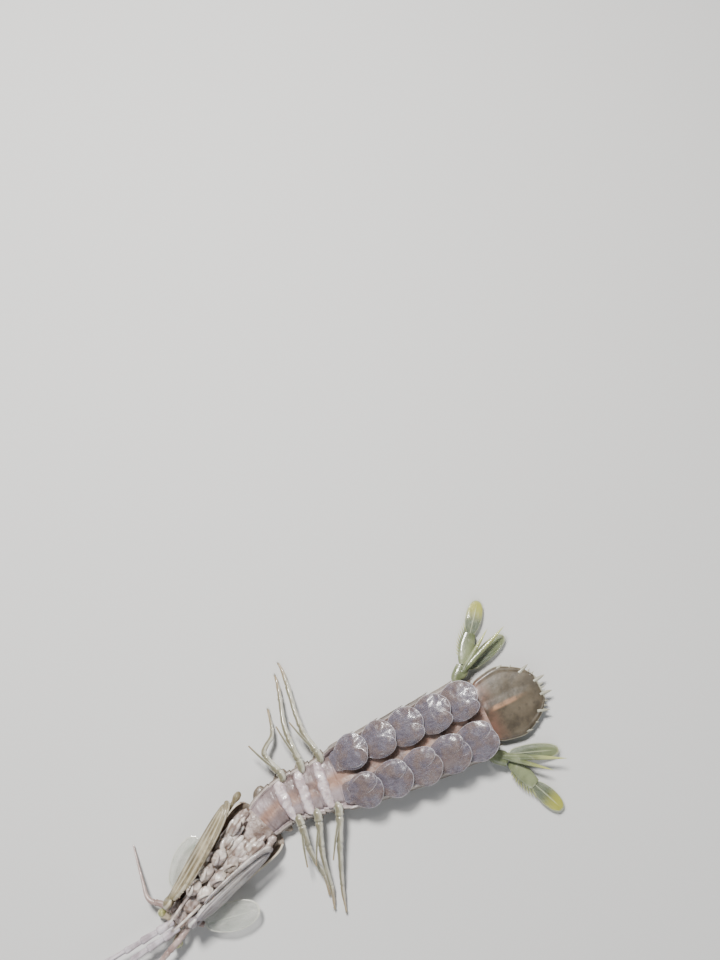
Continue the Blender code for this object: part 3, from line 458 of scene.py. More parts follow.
def band_finish():
    """White gland tissue that shows through skin, with painted shade, a darker lilac, in its dents and
    furrows.
    """
    band = Finish("white_gland", 0.34, Subsurface_Weight=0.25)
    lumps = band.at.noise(420.0, 3.0)
    colour = lumps.ramp(0.30, 0.62).mixed(rgb(0.48, 0.39, 0.40), rgb(0.70, 0.61, 0.61))
    # Painted shade: the dents marked below 0 are darkened to lilac grey
    colour = (band.rim.ramp(-0.1, -0.9) * 0.75).mixed(colour, rgb(0.32, 0.24, 0.26))
    thin = abs(band.across).ramp(0.55, 1.0)
    colour = (thin * 0.55).mixed(colour, rgb(0.34, 0.26, 0.28))
    return band.surface(colour, lumps, 0.0003, 0.2 + 0.25 * lumps)


# How far across the half width, and how much of its full size the cushion has there
BAND_SWELLS = (
    (-0.86, 0.30), (-0.80, 0.66), (-0.58, 0.88), (-0.30, 0.95), (0.0, 1.04), (0.30, 0.95), (0.58, 0.88),
    (0.80, 0.66), (0.86, 0.30),
)
band_skin = band_finish()
for number in (6, 7, 8):
    band_body = new_body()
    front, half_width, height = STATION["thorax", number], THORAX_WIDTHS[number][0], THORAX_HEIGHTS[number]
    y = front + BAND_SHARE * THORAX[number]
    stops = []
    for share, swell in BAND_SWELLS:
        level = height * (1.0 - 0.13 * share * share) - 0.05
        wander = 0.5 * noise.noise(Vector((share * 2.6, number, 0.0)))
        size = (BAND_HALF_LENGTH * swell, BAND_HALF_DEPTH * swell)
        stops.append((share * half_width, y + wander, level, *size))
    cushion = tube(band_body, stops, 60, 20)
    roughen(band_body, cushion, 2.2, 0.6, 1.6)
    roughen(band_body, cushion, 0.9, 0.16, 0.8)
    finished(f"white_band_{number}", band_body, band_skin, [])

# The pointed lobe at each side of a neck ring is a fold of the same shell. It stands out beside the
# root of the leg and guards it.

NECK_LOBE_SIZES = ((2.7, 1.6), (2.1, 1.0), (0.5, 0.35))

for number, length in THORAX.items():
    lobe_body = new_body()
    front, widths, height = STATION["thorax", number], THORAX_WIDTHS[number], THORAX_HEIGHTS[number]
    middle = front + 0.52 * length
    for side in SIDES.values():
        root = Vector((side * (widths[0] - 2.5), middle - 0.6, 0.38 * height))
        tip = Vector((side * (widths[1] + 1.7), middle + 0.24 * length, 0.36 * height))
        bend = root.lerp(tip, 0.7)
        tube(lobe_body, sized((root, bend, tip), NECK_LOBE_SIZES), 14, 14)
    finished(f"neck_lobes_{number}", lobe_body, trunk_skin, [])

# The tail plate is a thick flat shell, glassy at its rim, with three pairs of great teeth and small ones
# between them. A blunt keel runs down its middle on both faces, and it hinges on the last ring.

TELSON_PROFILE = (
    (0.0, 10.2, 2.4), (0.05, 12.8, 2.3), (0.20, 14.1, 2.1), (0.44, 15.0, 1.9), (0.58, 14.0, 1.6),
    (0.74, 11.8, 1.3), (0.87, 9.4, 1.0), (0.96, 6.4, 0.8), (1.0, 4.4, 0.6),
)
TELSON_TEETH = (
    (0.47, 14.6, 16.0, 3.0, 0.9), (0.83, 10.0, 18.0, 3.6, 0.9), (0.985, 4.2, 6.0, 3.6, 0.9),
    (0.66, 12.8, 30.0, 1.7, 0.55), (0.90, 8.4, 26.0, 1.6, 0.5), (0.94, 6.9, 22.0, 1.6, 0.5),
    (0.99, 1.8, 4.0, 1.4, 0.45),
)
TELSON_LEVEL = 3.4
TELSON_RISE = 1.6
TELSON_ROUND = 64
VENT_LENGTH = 7.0


def heading_out(side, degrees, rise=0.0):
    """A direction by its angle outwards from straight back, on one side."""
    angle = math.radians(degrees)
    return Vector((side * math.sin(angle), math.cos(angle), rise)).normalized()


def spike(body, root, way, length, radius, mask=1.0):
    """A pointed tooth or spine, sunk at its root."""
    points = (root - way * 1.2, root, root + way * length * 0.55, root + way * length)
    sizes = ((radius, radius), (radius, radius * 0.9), (radius * 0.66, radius * 0.6), (0.05, 0.05))
    return tube(body, sized(points, sizes), 9, 8, mask=mask)


def telson_level(share):
    return TELSON_LEVEL + TELSON_RISE * share * share


def tail_finish():
    """Grey brown, with a pale edge and a pale orange keel."""
    plate = Finish("wet_tail_plate", 0.34, Coat_Weight=0.25, Coat_Roughness=0.15)
    cloud = plate.at.noise(110.0, 4.0)
    colour = cloud.ramp(0.3, 0.7).mixed(rgb(0.060, 0.048, 0.032), rgb(0.13, 0.105, 0.072))
    reddish = plate.along.ramp(0.32, 0.0) * cloud.ramp(0.25, 0.6)
    colour = reddish.mixed(colour, rgb(0.17, 0.085, 0.06))
    middle = abs(plate.across)
    keel = middle.ramp(0.10, 0.02) * plate.along.ramp(0.08, 0.2) * plate.along.ramp(0.80, 0.35)
    keel = keel * plate.at.noise(260.0, 3.0).ramp(0.25, 0.55)
    colour = (keel * 0.85).mixed(colour, rgb(0.46, 0.26, 0.15))
    colour = (plate.at.noise(300.0, 4.0).ramp(0.5, 0.7) * 0.5).mixed(colour, rgb(0.035, 0.028, 0.02))
    edge = plate.rim.ramp(0.972, 0.992)
    colour = (edge * 0.8).mixed(colour, rgb(0.44, 0.43, 0.34))
    pits = plate.at.noise(700.0, 4.0)
    return plate.surface(colour, cloud + 0.12 * pits, 0.0003, 0.28 + 0.25 * cloud)


tail_skin = tail_finish()
tail_body = new_body()
front = STATION["telson"] + 0.15
outline = curve([(share * TELSON, wide, 0.0, deep) for share, wide, deep in TELSON_PROFILE], 44)
rings = []
for along, wide, _, deep in outline:
    share = along / TELSON
    ring = []
    for j in range(TELSON_ROUND):
        angle = 2.0 * math.pi * (j + 0.5) / TELSON_ROUND
        u = squared(math.cos(angle), 0.8)
        face = math.copysign(1.0, math.sin(angle))
        thick = deep * (1.0 - 0.72 * abs(u) ** 2.2) * abs(math.sin(angle)) ** 0.45
        keel = 1.3 * hump(u * wide, 1.25) * eased(share / 0.08) * eased((0.92 - share) / 0.35)
        rim_ridge = 0.35 * hump(abs(u) - 0.90, 0.05) * eased(share / 0.1)
        side_keel = 0.3 * hump(abs(u) - 0.45 - 0.1 * share, 0.04) * eased((0.8 - share) / 0.3)
        level = telson_level(share) + face * (thick + keel + rim_ridge + side_keel * (face < 0.0))
        point = Vector((u * wide, front + along, max(level, FLOOR_LEVEL)))
        ring.append((point, (u, share, max(abs(u), 1.0 - (1.0 - share) / 0.12 * 0.1))))
    rings.append(ring)
loft(tail_body, rings)
for share, out, outward, stand, radius in TELSON_TEETH:
    for side in SIDES.values():
        way = heading_out(side, outward, 0.1)
        root = Vector((side * (out - 1.2), front + share * TELSON, telson_level(share)))
        spike(tail_body, root, way, stand + 0.6, radius)
# The low mound of the vent, at the root of the plate
vent_level = telson_level(0.0) + 2.0
vent_stops = (
    (0.0, front + 0.2, vent_level - 0.6, 0.8, 0.4), (0.0, front + 1.6, vent_level - 0.2, 2.6, 0.8),
    (0.0, front + 4.2, vent_level - 0.3, 1.8, 0.7), (0.0, front + VENT_LENGTH, vent_level - 0.8, 0.4, 0.3),
)
roughen(tail_body, tube(tail_body, vent_stops, 22, 20), 1.2, 0.35)
finished("tail_plate", tail_body, tail_skin, ["telson"])

# Each side of the fan is a stout base that ends in two great spines, an outer blade whose stout part
# carries a comb of movable spines and whose tip is a soft paddle, and an inner blade fringed with hairs.

FAN_SPREAD = {"right": (66.0, 20.0, 26.0, 39.0), "left": (50.0, 17.0, 22.0, 34.0)}
FAN_LEVEL = 4.8
FAN_ROOT_OUT, FAN_ROOT_AHEAD = 2.0, 4.4
FAN_BASE_LENGTH = 7.4
FAN_BASE_SIZES = ((1.7, 1.7), (2.5, 2.0), (3.1, 1.9), (2.6, 1.5))
FAN_BASE_SPREAD = 48.0
OUTER_ROOT, OUTER_STOUT, OUTER_PADDLE = 1.5, 13.5, 14.5
INNER_BLADE = 21.0
FORK_LENGTHS = (26.0, 21.0)
# A fork and the outer blade's stout part: how far along, half width and half depth
FORK_SHAPE = ((0.0, 1.0, 0.9), (0.3, 1.0, 0.8), (0.7, 0.6, 0.5), (1.0, 0.04, 0.04))
STOUT_SHAPE = ((0.0, OUTER_ROOT, 1.0), (2.5, 2.5, 1.1), (8.1, 3.2, 0.9), (OUTER_STOUT, 2.5, 0.8))
COMB_SPINES = 9
COMB_SPINE_RADIUS = 0.42
PADDLE_HALF_WIDTH, PADDLE_HAIR = 3.5, 1.6
INNER_HALF_WIDTH, INNER_HAIR = 3.2, 1.8
HAIR_RADIUS = 0.035
BLADE_RADII = (0.04, 0.18, 0.34, 0.5, 0.64, 0.76, 0.86, 0.93, 0.975, 1.0)


def blade(
    body, root, tip, half_width, thick=0.5, dome=0.6, lean=0.0,
    square=1.0, narrow=0.2, ripple=0.15, sides=56,
):
    """A thin rounded blade from root to tip. Its place is across, along, and the share out to its rim."""
    root, tip = Vector(root), Vector(tip)
    along = tip - root
    across = along.cross(UP).normalized()
    turned = across * math.cos(math.radians(lean)) + UP * math.sin(math.radians(lean))
    bulge = turned.cross(along).normalized()
    rings = []
    for face, radii in ((1.0, BLADE_RADII), (-1.0, BLADE_RADII[-2::-1])):
        for radius in radii:
            ring = []
            for j in range(sides):
                angle = 2.0 * math.pi * j / sides
                u, v = radius * squared(math.cos(angle), square), radius * squared(math.sin(angle), square)
                width = half_width * (1.0 - narrow * max(0.0, -v))
                wall = face * thick * 0.5 * math.sqrt(1.0 - radius ** 3)
                height = dome * (1.0 - min(u * u + v * v, 1.0)) + wall
                middle = root + along * (0.5 + 0.5 * v) + turned * width * u
                height += ripple * radius * noise.noise(middle * 0.45)
                ring.append((middle + bulge * height, (u, 0.5 + 0.5 * v, radius)))
            rings.append(ring)
    return loft(body, rings)


def bristle(body, root, tip, radius=0.05):
    """One three-sided hair."""
    way = tip - root
    turned = way.to_track_quat("Z", "Y").to_matrix().to_4x4()
    hair = bmesh.ops.create_cone(
        body, cap_ends=True, segments=3, radius1=radius, radius2=0.0, depth=way.length,
        matrix=Matrix.Translation(root + way / 2.0) @ turned,
    )["verts"]
    place = places(body)
    for vertex in hair:
        vertex[place] = (0.0, (vertex.co - root).length / way.length, 2.0)


def fringe(body, rim, centre, length, count, seed, start=0.12):
    """Hairs out from a blade's rim, which fan away from its root."""
    draw = random.Random(seed)
    place = places(body)
    edge = [vertex for vertex in rim if vertex[place].z > 0.995 and vertex[place].y > start]
    ordered = sorted(edge, key=lambda vertex: math.atan2(vertex[place].x, vertex[place].y - 0.35))
    spots = [vertex.co.copy() for vertex in ordered]
    for index in range(count):
        at = index / (count - 1.0) * (len(spots) - 1.001)
        near = int(at)
        if (spots[near + 1] - spots[near]).length > 3.0:
            continue
        root = spots[near].lerp(spots[near + 1], at - near)
        way = (root - centre).normalized()
        scatter = Vector((draw.uniform(-0.12, 0.12), draw.uniform(-0.12, 0.12), draw.uniform(-0.1, 0.1)))
        way = (way + scatter).normalized()
        bristle(body, root - way * 0.25, root + way * length * draw.uniform(0.55, 1.1), HAIR_RADIUS)


def fan_finish():
    """Olive shell with paler blotches, yellow towards the ends of its spines, and whitish hairs."""
    fan = Finish("olive_fan_shell", 0.3, Coat_Weight=0.6)
    cloud = fan.at.noise(160.0, 4.0)
    colour = cloud.ramp(0.3, 0.7).mixed(rgb(0.10, 0.12, 0.055), rgb(0.23, 0.26, 0.14))
    colour = (fan.at.noise(420.0).ramp(0.55, 0.7) * 0.5).mixed(colour, rgb(0.40, 0.41, 0.31))
    spines = fan.rim.ramp(0.99, 1.0) * fan.rim.ramp(1.6, 1.5)
    colour = (spines * fan.along.ramp(0.35, 0.95)).mixed(colour, rgb(0.48, 0.50, 0.16))
    hairs = fan.rim.ramp(1.8, 1.9)
    colour = hairs.mixed(colour, rgb(0.40, 0.41, 0.30))
    return fan.surface(colour, cloud + 0.4 * fan.at.noise(1200.0), 0.00025, 0.2 + 0.25 * cloud)


def paddle_finish(name, tip_colour, amount):
    """A clear olive blade with fine streaks along it, a pale rim and hairs, tinted towards its tip."""
    paddle = Finish(name, 0.28, Coat_Weight=0.6)
    fibres = paddle.place.scaled(16.0, 1.2).noise(2.2, 4.0)
    colour = fibres.ramp(0.35, 0.65).mixed(rgb(0.08, 0.105, 0.06), rgb(0.25, 0.29, 0.18))
    tip = paddle.along.ramp(0.35, 0.8) * amount
    colour = tip.mixed(colour, tip_colour)
    rim = paddle.rim.ramp(0.90, 0.985)
    colour = rim.mixed(colour, rgb(0.42, 0.45, 0.27))
    middle = abs(paddle.across)
    rib = middle.ramp(0.10, 0.03) * paddle.along.ramp(0.95, 0.7)
    colour = (rib * 0.6).mixed(colour, rgb(0.48, 0.50, 0.33))
    alpha = 0.62 + 0.38 * (rim + rib).capped()
    return paddle.surface(colour, fibres, 0.0002, None, alpha)


fan_skin = fan_finish()
inner_skin = paddle_finish("inner_blade_skin", rgb(0.28, 0.33, 0.12), 0.5)
outer_skin = paddle_finish("outer_paddle_skin", rgb(0.50, 0.50, 0.05), 0.9)
for name, side in SIDES.items():
    base_y = STATION["telson"]
    outer_angle, inner_angle, long_angle, short_angle = FAN_SPREAD[name]
    root = Vector((side * (ABDOMEN_WIDTHS[6][1] + FAN_ROOT_OUT), base_y - FAN_ROOT_AHEAD, FAN_LEVEL))
    base_end = root + heading_out(side, FAN_BASE_SPREAD) * FAN_BASE_LENGTH
    neck = root + Vector((side * 2.0, 0.7, 0.0))
    base_body = new_body()
    points = (root, neck, root.lerp(base_end, 0.65), base_end)
    tube(base_body, sized(points, FAN_BASE_SIZES), 24, 20, roundness=0.8)
    fork_root = root.lerp(base_end, 0.55) + Vector((0.0, 0.8, 1.3))
    for degrees, length, wide in ((long_angle, FORK_LENGTHS[0], 1.3), (short_angle, FORK_LENGTHS[1], 1.1)):
        way = heading_out(side, degrees, 0.06)
        stops = [(*(fork_root + way * share * length), wide * w, deep) for share, w, deep in FORK_SHAPE]
        tube(base_body, stops, 30, 10, mask=1.0)
    finished(f"fan_base_{name}", base_body, fan_skin, [f"uropod_base_{name}"], base_y)

    out = heading_out(side, outer_angle, -0.06)
    before = Vector((out.y, -out.x, 0.0)).normalized() * side
    turn = math.radians(abs(outer_angle - FAN_BASE_SPREAD))
    start = base_end + heading_out(side, FAN_BASE_SPREAD) * (0.45 + OUTER_ROOT * math.sin(turn)) - UP * 1.0
    knuckle = start + out * OUTER_STOUT
    stout_body = new_body()
    stops = [(*(start + out * along), wide, deep) for along, wide, deep in STOUT_SHAPE]
    tube(stout_body, stops, 26, 20, roundness=0.8)
    for index in range(COMB_SPINES):
        share = (index + 1.0) / COMB_SPINES
        edge = 1.9 + 0.9 * math.sin(math.pi * share)
        at = start + out * (2.0 + (OUTER_STOUT - 2.4) * share) + before * edge
        way = (out * (0.55 + 0.5 * share) + before * (1.0 - 0.55 * share)).normalized()
        spike(stout_body, at - way * 0.3, way, 1.9 + 3.0 * share, COMB_SPINE_RADIUS)
    finished(f"fan_outer_{name}", stout_body, fan_skin, [f"uropod_outer_{name}"], base_y)
    paddle_body = new_body()
    paddle_ends = (knuckle - out * 1.2, knuckle + out * OUTER_PADDLE)
    rim = blade(paddle_body, *paddle_ends, PADDLE_HALF_WIDTH, thick=0.7, dome=0.3, square=0.85)
    fringe(paddle_body, rim, knuckle + out * 2.0, PADDLE_HAIR, 110, 3)
    finished(f"fan_paddle_{name}", paddle_body, outer_skin, [], base_y)

    inward = heading_out(side, inner_angle, -0.03)
    start = root.lerp(base_end, 0.6) + Vector((0.0, 3.5, -1.6))
    inner_body = new_body()
    inner_tip = start + inward * INNER_BLADE
    rim = blade(inner_body, start, inner_tip, INNER_HALF_WIDTH, thick=0.8, dome=0.4, square=0.85)
    fringe(inner_body, rim, start + inward * 6.0, INNER_HAIR, 150, 4)
    finished(f"fan_inner_{name}", inner_body, inner_skin, [f"uropod_inner_{name}"], base_y)

# The carapace is one thin shell over the back of the head, turned up along both sides. Outside it has
# low keels and two grooves, and in front a small movable plate covers the root of the eyes.

CARAPACE_STATIONS = (
    (7.8, 4.9, 3.2), (10.5, 6.2, 3.9), (17.0, 7.8, 4.6), (28.0, 9.8, 5.2), (41.0, 12.0, 5.6),
    (49.0, 12.8, 5.6), (52.6, 12.0, 4.6),
)
CARAPACE_SECTION = ((0.0, 0.0), (0.42, 0.0), (0.70, 0.06), (0.88, 0.24), (0.97, 0.58), (1.0, 1.0))
CARAPACE_KEELS = (0.0, 0.34, 0.62, 0.86)
CARAPACE_ROWS, CARAPACE_COLUMNS = 59, 39
CARAPACE_WALL = 0.7
CARAPACE_SPINE = 3.8
ROSTRAL_SHAPE = (
    (0.0, ROSTRAL_PLATE, 1.2, 3.4, 0.45), (0.0, 5.4, 1.3, 3.2, 0.45), (0.0, 2.2, 1.5, 1.7, 0.4),
    (0.0, 0.1, 1.8, 0.1, 0.1),
)


def carapace_finish():
    """Olive grey brown outside, with reddish keels, dark specks and a pale free edge."""
    shell = Finish("carapace_shell", 0.32)
    cloud = shell.at.noise(110.0, 5.0)
    colour = cloud.ramp(0.35, 0.65).mixed(rgb(0.22, 0.18, 0.14), rgb(0.42, 0.36, 0.30))
    colour = (shell.rim.ramp(0.3, 0.9) * 0.8).mixed(colour, rgb(0.40, 0.17, 0.10))
    specks = shell.at.cells(1300.0).ramp(0.32, 0.12) * shell.at.noise(240.0).ramp(0.4, 0.6)
    colour = (specks * 0.6).mixed(colour, rgb(0.05, 0.04, 0.035))
    middle = abs(shell.across)
    colour = middle.ramp(0.95, 0.995).mixed(colour, rgb(0.62, 0.56, 0.44))
    return shell.surface(colour, cloud + 0.5 * shell.at.noise(900.0), 0.0002, 0.22 + 0.25 * cloud)


carapace_skin = carapace_finish()
carapace_body = new_body()
place = places(carapace_body)
half = curve([(u, v, 0.0) for u, v in CARAPACE_SECTION], CARAPACE_COLUMNS + 1)
lines = curve(CARAPACE_STATIONS, CARAPACE_ROWS + 1)
grid = bmesh.ops.create_grid(
    carapace_body, x_segments=2 * CARAPACE_COLUMNS, y_segments=CARAPACE_ROWS, size=1.0)["verts"]
for vertex in grid:
    row = round((vertex.co.y * 0.5 + 0.5) * CARAPACE_ROWS)
    column = round(vertex.co.x * CARAPACE_COLUMNS)
    y, half_width, height = lines[row]
    u, v, _ = half[abs(column)]
    share, back = abs(column) / CARAPACE_COLUMNS, row / CARAPACE_ROWS
    keel = max(hump(share - at, 0.02) for at in CARAPACE_KEELS)
    groove = hump(share - 0.22 - 0.12 * abs(back - 0.4), 0.03) * eased((0.8 - back) / 0.2)
    y += 1.2 * eased((back - 0.7) / 0.3) * math.cos(share * 3.0)
    level = max(v * height + 0.5 * groove + 0.30 * (1.0 - keel) * (1.0 - share), FLOOR_LEVEL)
    wide = u * half_width + 0.25 * keel * share * share
    vertex.co = Vector((math.copysign(wide, column), y, level))
    vertex[place] = (math.copysign(share, column), back, keel)
bmesh.ops.recalc_face_normals(carapace_body, faces=carapace_body.faces)
carapace_body.faces.ensure_lookup_table()
if sum(face.normal.z for face in carapace_body.faces) > 0.0:
    bmesh.ops.reverse_faces(carapace_body, faces=carapace_body.faces)
whole = carapace_body.verts[:] + carapace_body.edges[:] + carapace_body.faces[:]
bmesh.ops.solidify(carapace_body, geom=whole, thickness=CARAPACE_WALL)
front_y, front_half_width, _ = CARAPACE_STATIONS[0]
for side in SIDES.values():
    root = Vector((side * (front_half_width - 0.6), front_y + 1.2, 1.4))
    spike(carapace_body, root, Vector((side * 0.12, -1.0, 0.0)).normalized(), CARAPACE_SPINE, 0.6, mask=0.0)
finished("carapace_shield", carapace_body, carapace_skin, ["carapace"])
plate_body = new_body()
tube(plate_body, ROSTRAL_SHAPE, 26, 24, roundness=0.8)
finished("rostral_shield", plate_body, carapace_skin, ["rostral_plate"])

# The head's underside is soft skin over a firm core, with the lip in the middle, the jaws beside it and
# two pairs of soft fringed lobes behind it. It carries every limb in front of the neck.

HEAD_STATIONS = (
    (3.8, 2.6, 2.6, 7.8), (7.0, 3.3, 1.9, 9.6), (14.0, 4.1, 1.6, 11.0), (28.0, 4.5, 1.6, 11.4),
    (38.0, 5.6, 1.6, 11.0), (52.6, 7.2, 1.6, 9.4),
)
FACE_PLATES = (
    ((0.9, 9.6, 9.6), (2.3, 3.4, 8.6), 1.5), ((3.0, 10.6, 9.4), (4.3, 4.6, 8.2), 1.6),
    ((2.2, 13.0, 10.6), (3.6, 8.2, 9.6), 1.3),
)
SKIN_FOLD = (
    (4.6, 15.0, 8.8, 0.6, 0.6), (5.0, 19.0, 9.2, 1.2, 1.2), (5.4, 28.0, 9.8, 1.5, 1.5),
    (7.0, 38.0, 9.8, 1.9, 1.6), (7.8, 46.0, 9.2, 2.0, 1.5), (7.2, 52.0, 8.6, 1.2, 1.0),
)
LIP = (
    (0.0, 9.6, 10.2, 0.6, 0.5), (0.0, 10.6, 11.0, 2.1, 1.3), (0.0, 13.5, 11.4, 2.6, 1.7),
    (0.0, 16.6, 11.0, 1.9, 1.2), (0.0, 17.6, 10.4, 0.4, 0.4),
)
JAW = (
    (3.6, 15.0, 9.6, 0.5, 0.5), (3.0, 16.2, 10.9, 1.3, 1.2), (1.4, 18.2, 11.6, 1.1, 0.9),
    (0.5, 18.6, 11.4, 0.3, 0.3),
)
# The soft lobes behind the jaws: how far back, how far out, and their length
MOUTH_LOBES = ((21.5, 1.6, 4.2), (25.5, 1.9, 5.0))
MOUTH_LOBE_HAIR = 0.9


def mirrored(side, stops):
    """Stops drawn on the right, for either side."""
    return [(side * x, *rest) for x, *rest in stops]


def head_finish():
    """Lilac grey skin, mottled brown, with painted shade darkening its dents and folds."""
    skin = Finish("soft_head_skin", 0.36, Subsurface_Weight=0.2)
    cloud = skin.at.noise(230.0, 5.0)
    fine = skin.at.noise(900.0, 3.0)
    colour = cloud.ramp(0.32, 0.62).mixed(rgb(0.20, 0.14, 0.11), rgb(0.50, 0.42, 0.39))
    colour = (fine.ramp(0.52, 0.68) * 0.6).mixed(colour, rgb(0.12, 0.08, 0.06))
    # Painted shade: the dents and folds marked below 0 are darkened
    colour = (skin.rim.ramp(-0.1, -0.9) * 0.8).mixed(colour, rgb(0.13, 0.085, 0.07))
    return skin.surface(colour, cloud + 0.5 * fine, 0.0006, 0.18 + 0.3 * fine)


head_skin = head_finish()
head_body = new_body()
head_stops = [(0.0, y, (low + high) / 2.0, wide, (high - low) / 2.0) for y, wide, low, high in HEAD_STATIONS]
trunk = tube(head_body, head_stops, 70, 36, roundness=0.8)
roughen(head_body, trunk, 3.0, 0.6, 1.6)
roughen(head_body, trunk, 1.1, 0.25, 1.0)
roughen(head_body, tube(head_body, LIP, 26, 20), 1.4, 0.25, 1.6)
for side in SIDES.values():
    tube(head_body, mirrored(side, JAW), 18, 14)
    for lobe, (y, x, length) in enumerate(MOUTH_LOBES):
        ends = mirrored(side, ((x, y + length, 11.3), (x - 0.5, y - 0.6, 12.2)))
        rim = blade(head_body, *ends, 1.5, dome=0.4, lean=side * 20.0, ripple=0.4, sides=28)
        fringe(head_body, rim, Vector((side * x, y + length * 0.6, 11.5)), MOUTH_LOBE_HAIR, 40, lobe)
    # The pale ridged plates of the face, from the lip out to the root of the feelers
    for plate, (start, end, wide) in enumerate(FACE_PLATES):
        ends, lean = mirrored(side, (start, end)), side * 15.0 * (plate - 1)
        ridged = blade(head_body, *ends, wide, thick=0.7, dome=0.5, lean=lean, ripple=0.5, sides=28)
        roughen(head_body, ridged, 0.9, 0.4, 2.0)
    # A soft fold of skin down each side, where the limbs are rooted
    soft = tube(head_body, mirrored(side, SKIN_FOLD), 60, 18)
    roughen(head_body, soft, 2.2, 0.7, 1.8)
    roughen(head_body, soft, 0.9, 0.25, 0.8)
finished("head_underside", head_body, head_skin, ["head"])

# The two slender limbs beside the lip are cleaning limbs. Each is a thin jointed rod of pale shell,
# rooted behind the jaws, that reaches forward and ends in a brush of hairs.


CLEANING_ROD = (
    (1.2, 19.0, 12.6, 0.8, 0.7), (2.7, 15.5, 12.8, 0.7, 0.6), (2.3, 9.0, 12.6, 0.55, 0.55),
    (1.4, 2.0, 12.4, 0.3, 0.28),
)


def mouth_finish():
    """Creamy white shell with lilac grey patches, and painted shade, a dark brown, in its dents and folds.
    """
    cream = Finish("cream_mouth_shell", 0.3, Subsurface_Weight=0.2)
    cloud = cream.at.noise(260.0, 4.0)
    colour = cloud.ramp(0.32, 0.66).mixed(rgb(0.46, 0.39, 0.33), rgb(0.78, 0.72, 0.66))
    colour = (cream.at.noise(120.0, 2.0).ramp(0.44, 0.62) * 0.7).mixed(colour, rgb(0.32, 0.26, 0.26))
    # Painted shade: the dents and folds marked below 0 are darkened to brown
    colour = (cream.rim.ramp(-0.1, -0.9) * 0.85).mixed(colour, rgb(0.17, 0.115, 0.09))
    fine = cream.at.noise(700.0, 3.0)
    return cream.surface(colour, cloud + 0.5 * fine, 0.0003, 0.2 + 0.3 * fine)


mouth_skin = mouth_finish()


def brush(body, root, way, length, spread, count, seed):
    """A tuft of hairs that spread from one spot."""
    draw = random.Random(seed)
    for _ in range(count):
        scatter = Vector((draw.gauss(0.0, 1.0), draw.gauss(0.0, 1.0), draw.gauss(0.0, 1.0)))
        aim = (way + scatter * spread).normalized()
        foot = root + scatter * 0.12
        bristle(body, foot, foot + aim * length * draw.uniform(0.7, 1.1))


for name, side in SIDES.items():
    rod_body = new_body()
    tube(rod_body, mirrored(side, CLEANING_ROD), 40, 12, joints=((0.25, 0.03), (0.6, 0.03)))
    tip = Vector((side * 1.45, 2.4, 12.4))
    brush(rod_body, tip, Vector((-side * 0.3, -1.0, 0.1)), 1.8, 0.25, 50, 8)
    finished(f"cleaning_limb_{name}", rod_body, mouth_skin, [f"maxilliped_1_{name}"])

# Each eye sits on a short stalk of dull skin, rooted under the small front plate. It is two joined globes
# of tiny lenses, with a darker band between them.

FACE_TURN = math.radians(-17.0)
FACE_AHEAD = Vector((math.sin(FACE_TURN), -math.cos(FACE_TURN), 0.0))
FACE_ACROSS = Vector((math.cos(FACE_TURN), math.sin(FACE_TURN), 0.0))
FACE_MIDDLE = Vector((0.5, 2.4, 0.0))
EYE_ROOTS = {"right": (1.8, 2.5), "left": (-1.8, 2.15)}
EYE_LEVEL = 3.6
EYE_OUT, EYE_AHEAD = 5.8, 2.8
CORNEA_LOBE, CORNEA_APART = 1.8, 1.05
# Along a stalk: the share of the way to its cup, half width and half depth
STALK_SHAPE = ((0.0, 1.3, 1.2), (0.4, 1.15, 1.15), (1.0, 1.8, 1.7))


def face_point(out, ahead, level):
    return FACE_MIDDLE + FACE_ACROSS * out + FACE_AHEAD * ahead + UP * level


def eye_finish():
    """Greenish gold under a clear lens skin, with fine lens cells and a dark band across the waist."""
    eye = Finish("lens_skin", 0.10, Coat_Weight=1.0, Coat_Roughness=0.02, Metallic=0.35)
    cells = eye.at.cells(5200.0)
    cloud = eye.at.noise(500.0, 3.0)
    colour = cloud.ramp(0.35, 0.65).mixed(rgb(0.26, 0.29, 0.10), rgb(0.58, 0.55, 0.24))
    colour = (abs(eye.rim).ramp(0.20, 0.08) * 0.85).mixed(colour, rgb(0.06, 0.05, 0.03))
    return eye.surface(colour, cells, 0.00003)


def stalk_finish():
    """Dull brownish skin with a pale collar where the lenses begin."""
    stalk = Finish("stalk_skin", 0.4)
    cloud = stalk.at.noise(400.0, 3.0)
    colour = cloud.ramp(0.35, 0.65).mixed(rgb(0.30, 0.24, 0.16), rgb(0.55, 0.48, 0.36))
    colour = stalk.along.ramp(0.75, 0.95).mixed(colour, rgb(0.62, 0.58, 0.40))
    return stalk.surface(colour, cloud, 0.0002)


lens_skin, stalk_skin = eye_finish(), stalk_finish()
for name, side in SIDES.items():
    root = Vector((*EYE_ROOTS[name], EYE_LEVEL))
    cup = face_point(side * EYE_OUT, EYE_AHEAD, EYE_LEVEL)
    out = (cup - root).normalized()
    stalk_body = new_body()
    stalk = [(*root.lerp(cup, share), wide, deep) for share, wide, deep in STALK_SHAPE]
    tube(stalk_body, [*stalk, (*(cup + out * 0.5), 1.5, 1.5)], 20, 20)
    finished(f"eye_stalk_{name}", stalk_body, stalk_skin, [])
    lens_body = new_body()
    place = places(lens_body)
    across = Vector((0.35 * out.y, -0.35 * out.x, 0.94)).normalized()
    third = across.cross(out).normalized()
    lens = bmesh.ops.create_uvsphere(lens_body, u_segments=48, v_segments=32, radius=1.0)["verts"]
    for vertex in lens:
        x, y, z = vertex.co
        waist = 1.0 - 0.16 * hump(z, 0.22)
        vertex[place] = (x, y, z)
        vertex.co = cup + out * (0.8 + x * CORNEA_LOBE * waist) + third * y * CORNEA_LOBE * waist
        vertex.co += across * z * (CORNEA_LOBE + CORNEA_APART)
    finished(f"eye_lens_{name}", lens_body, lens_skin, [f"eye_{name}"])

# Each first feeler has three stout joints of thin shell, and from the last of them grow three whips of
# many short rings, which lie close together in front.

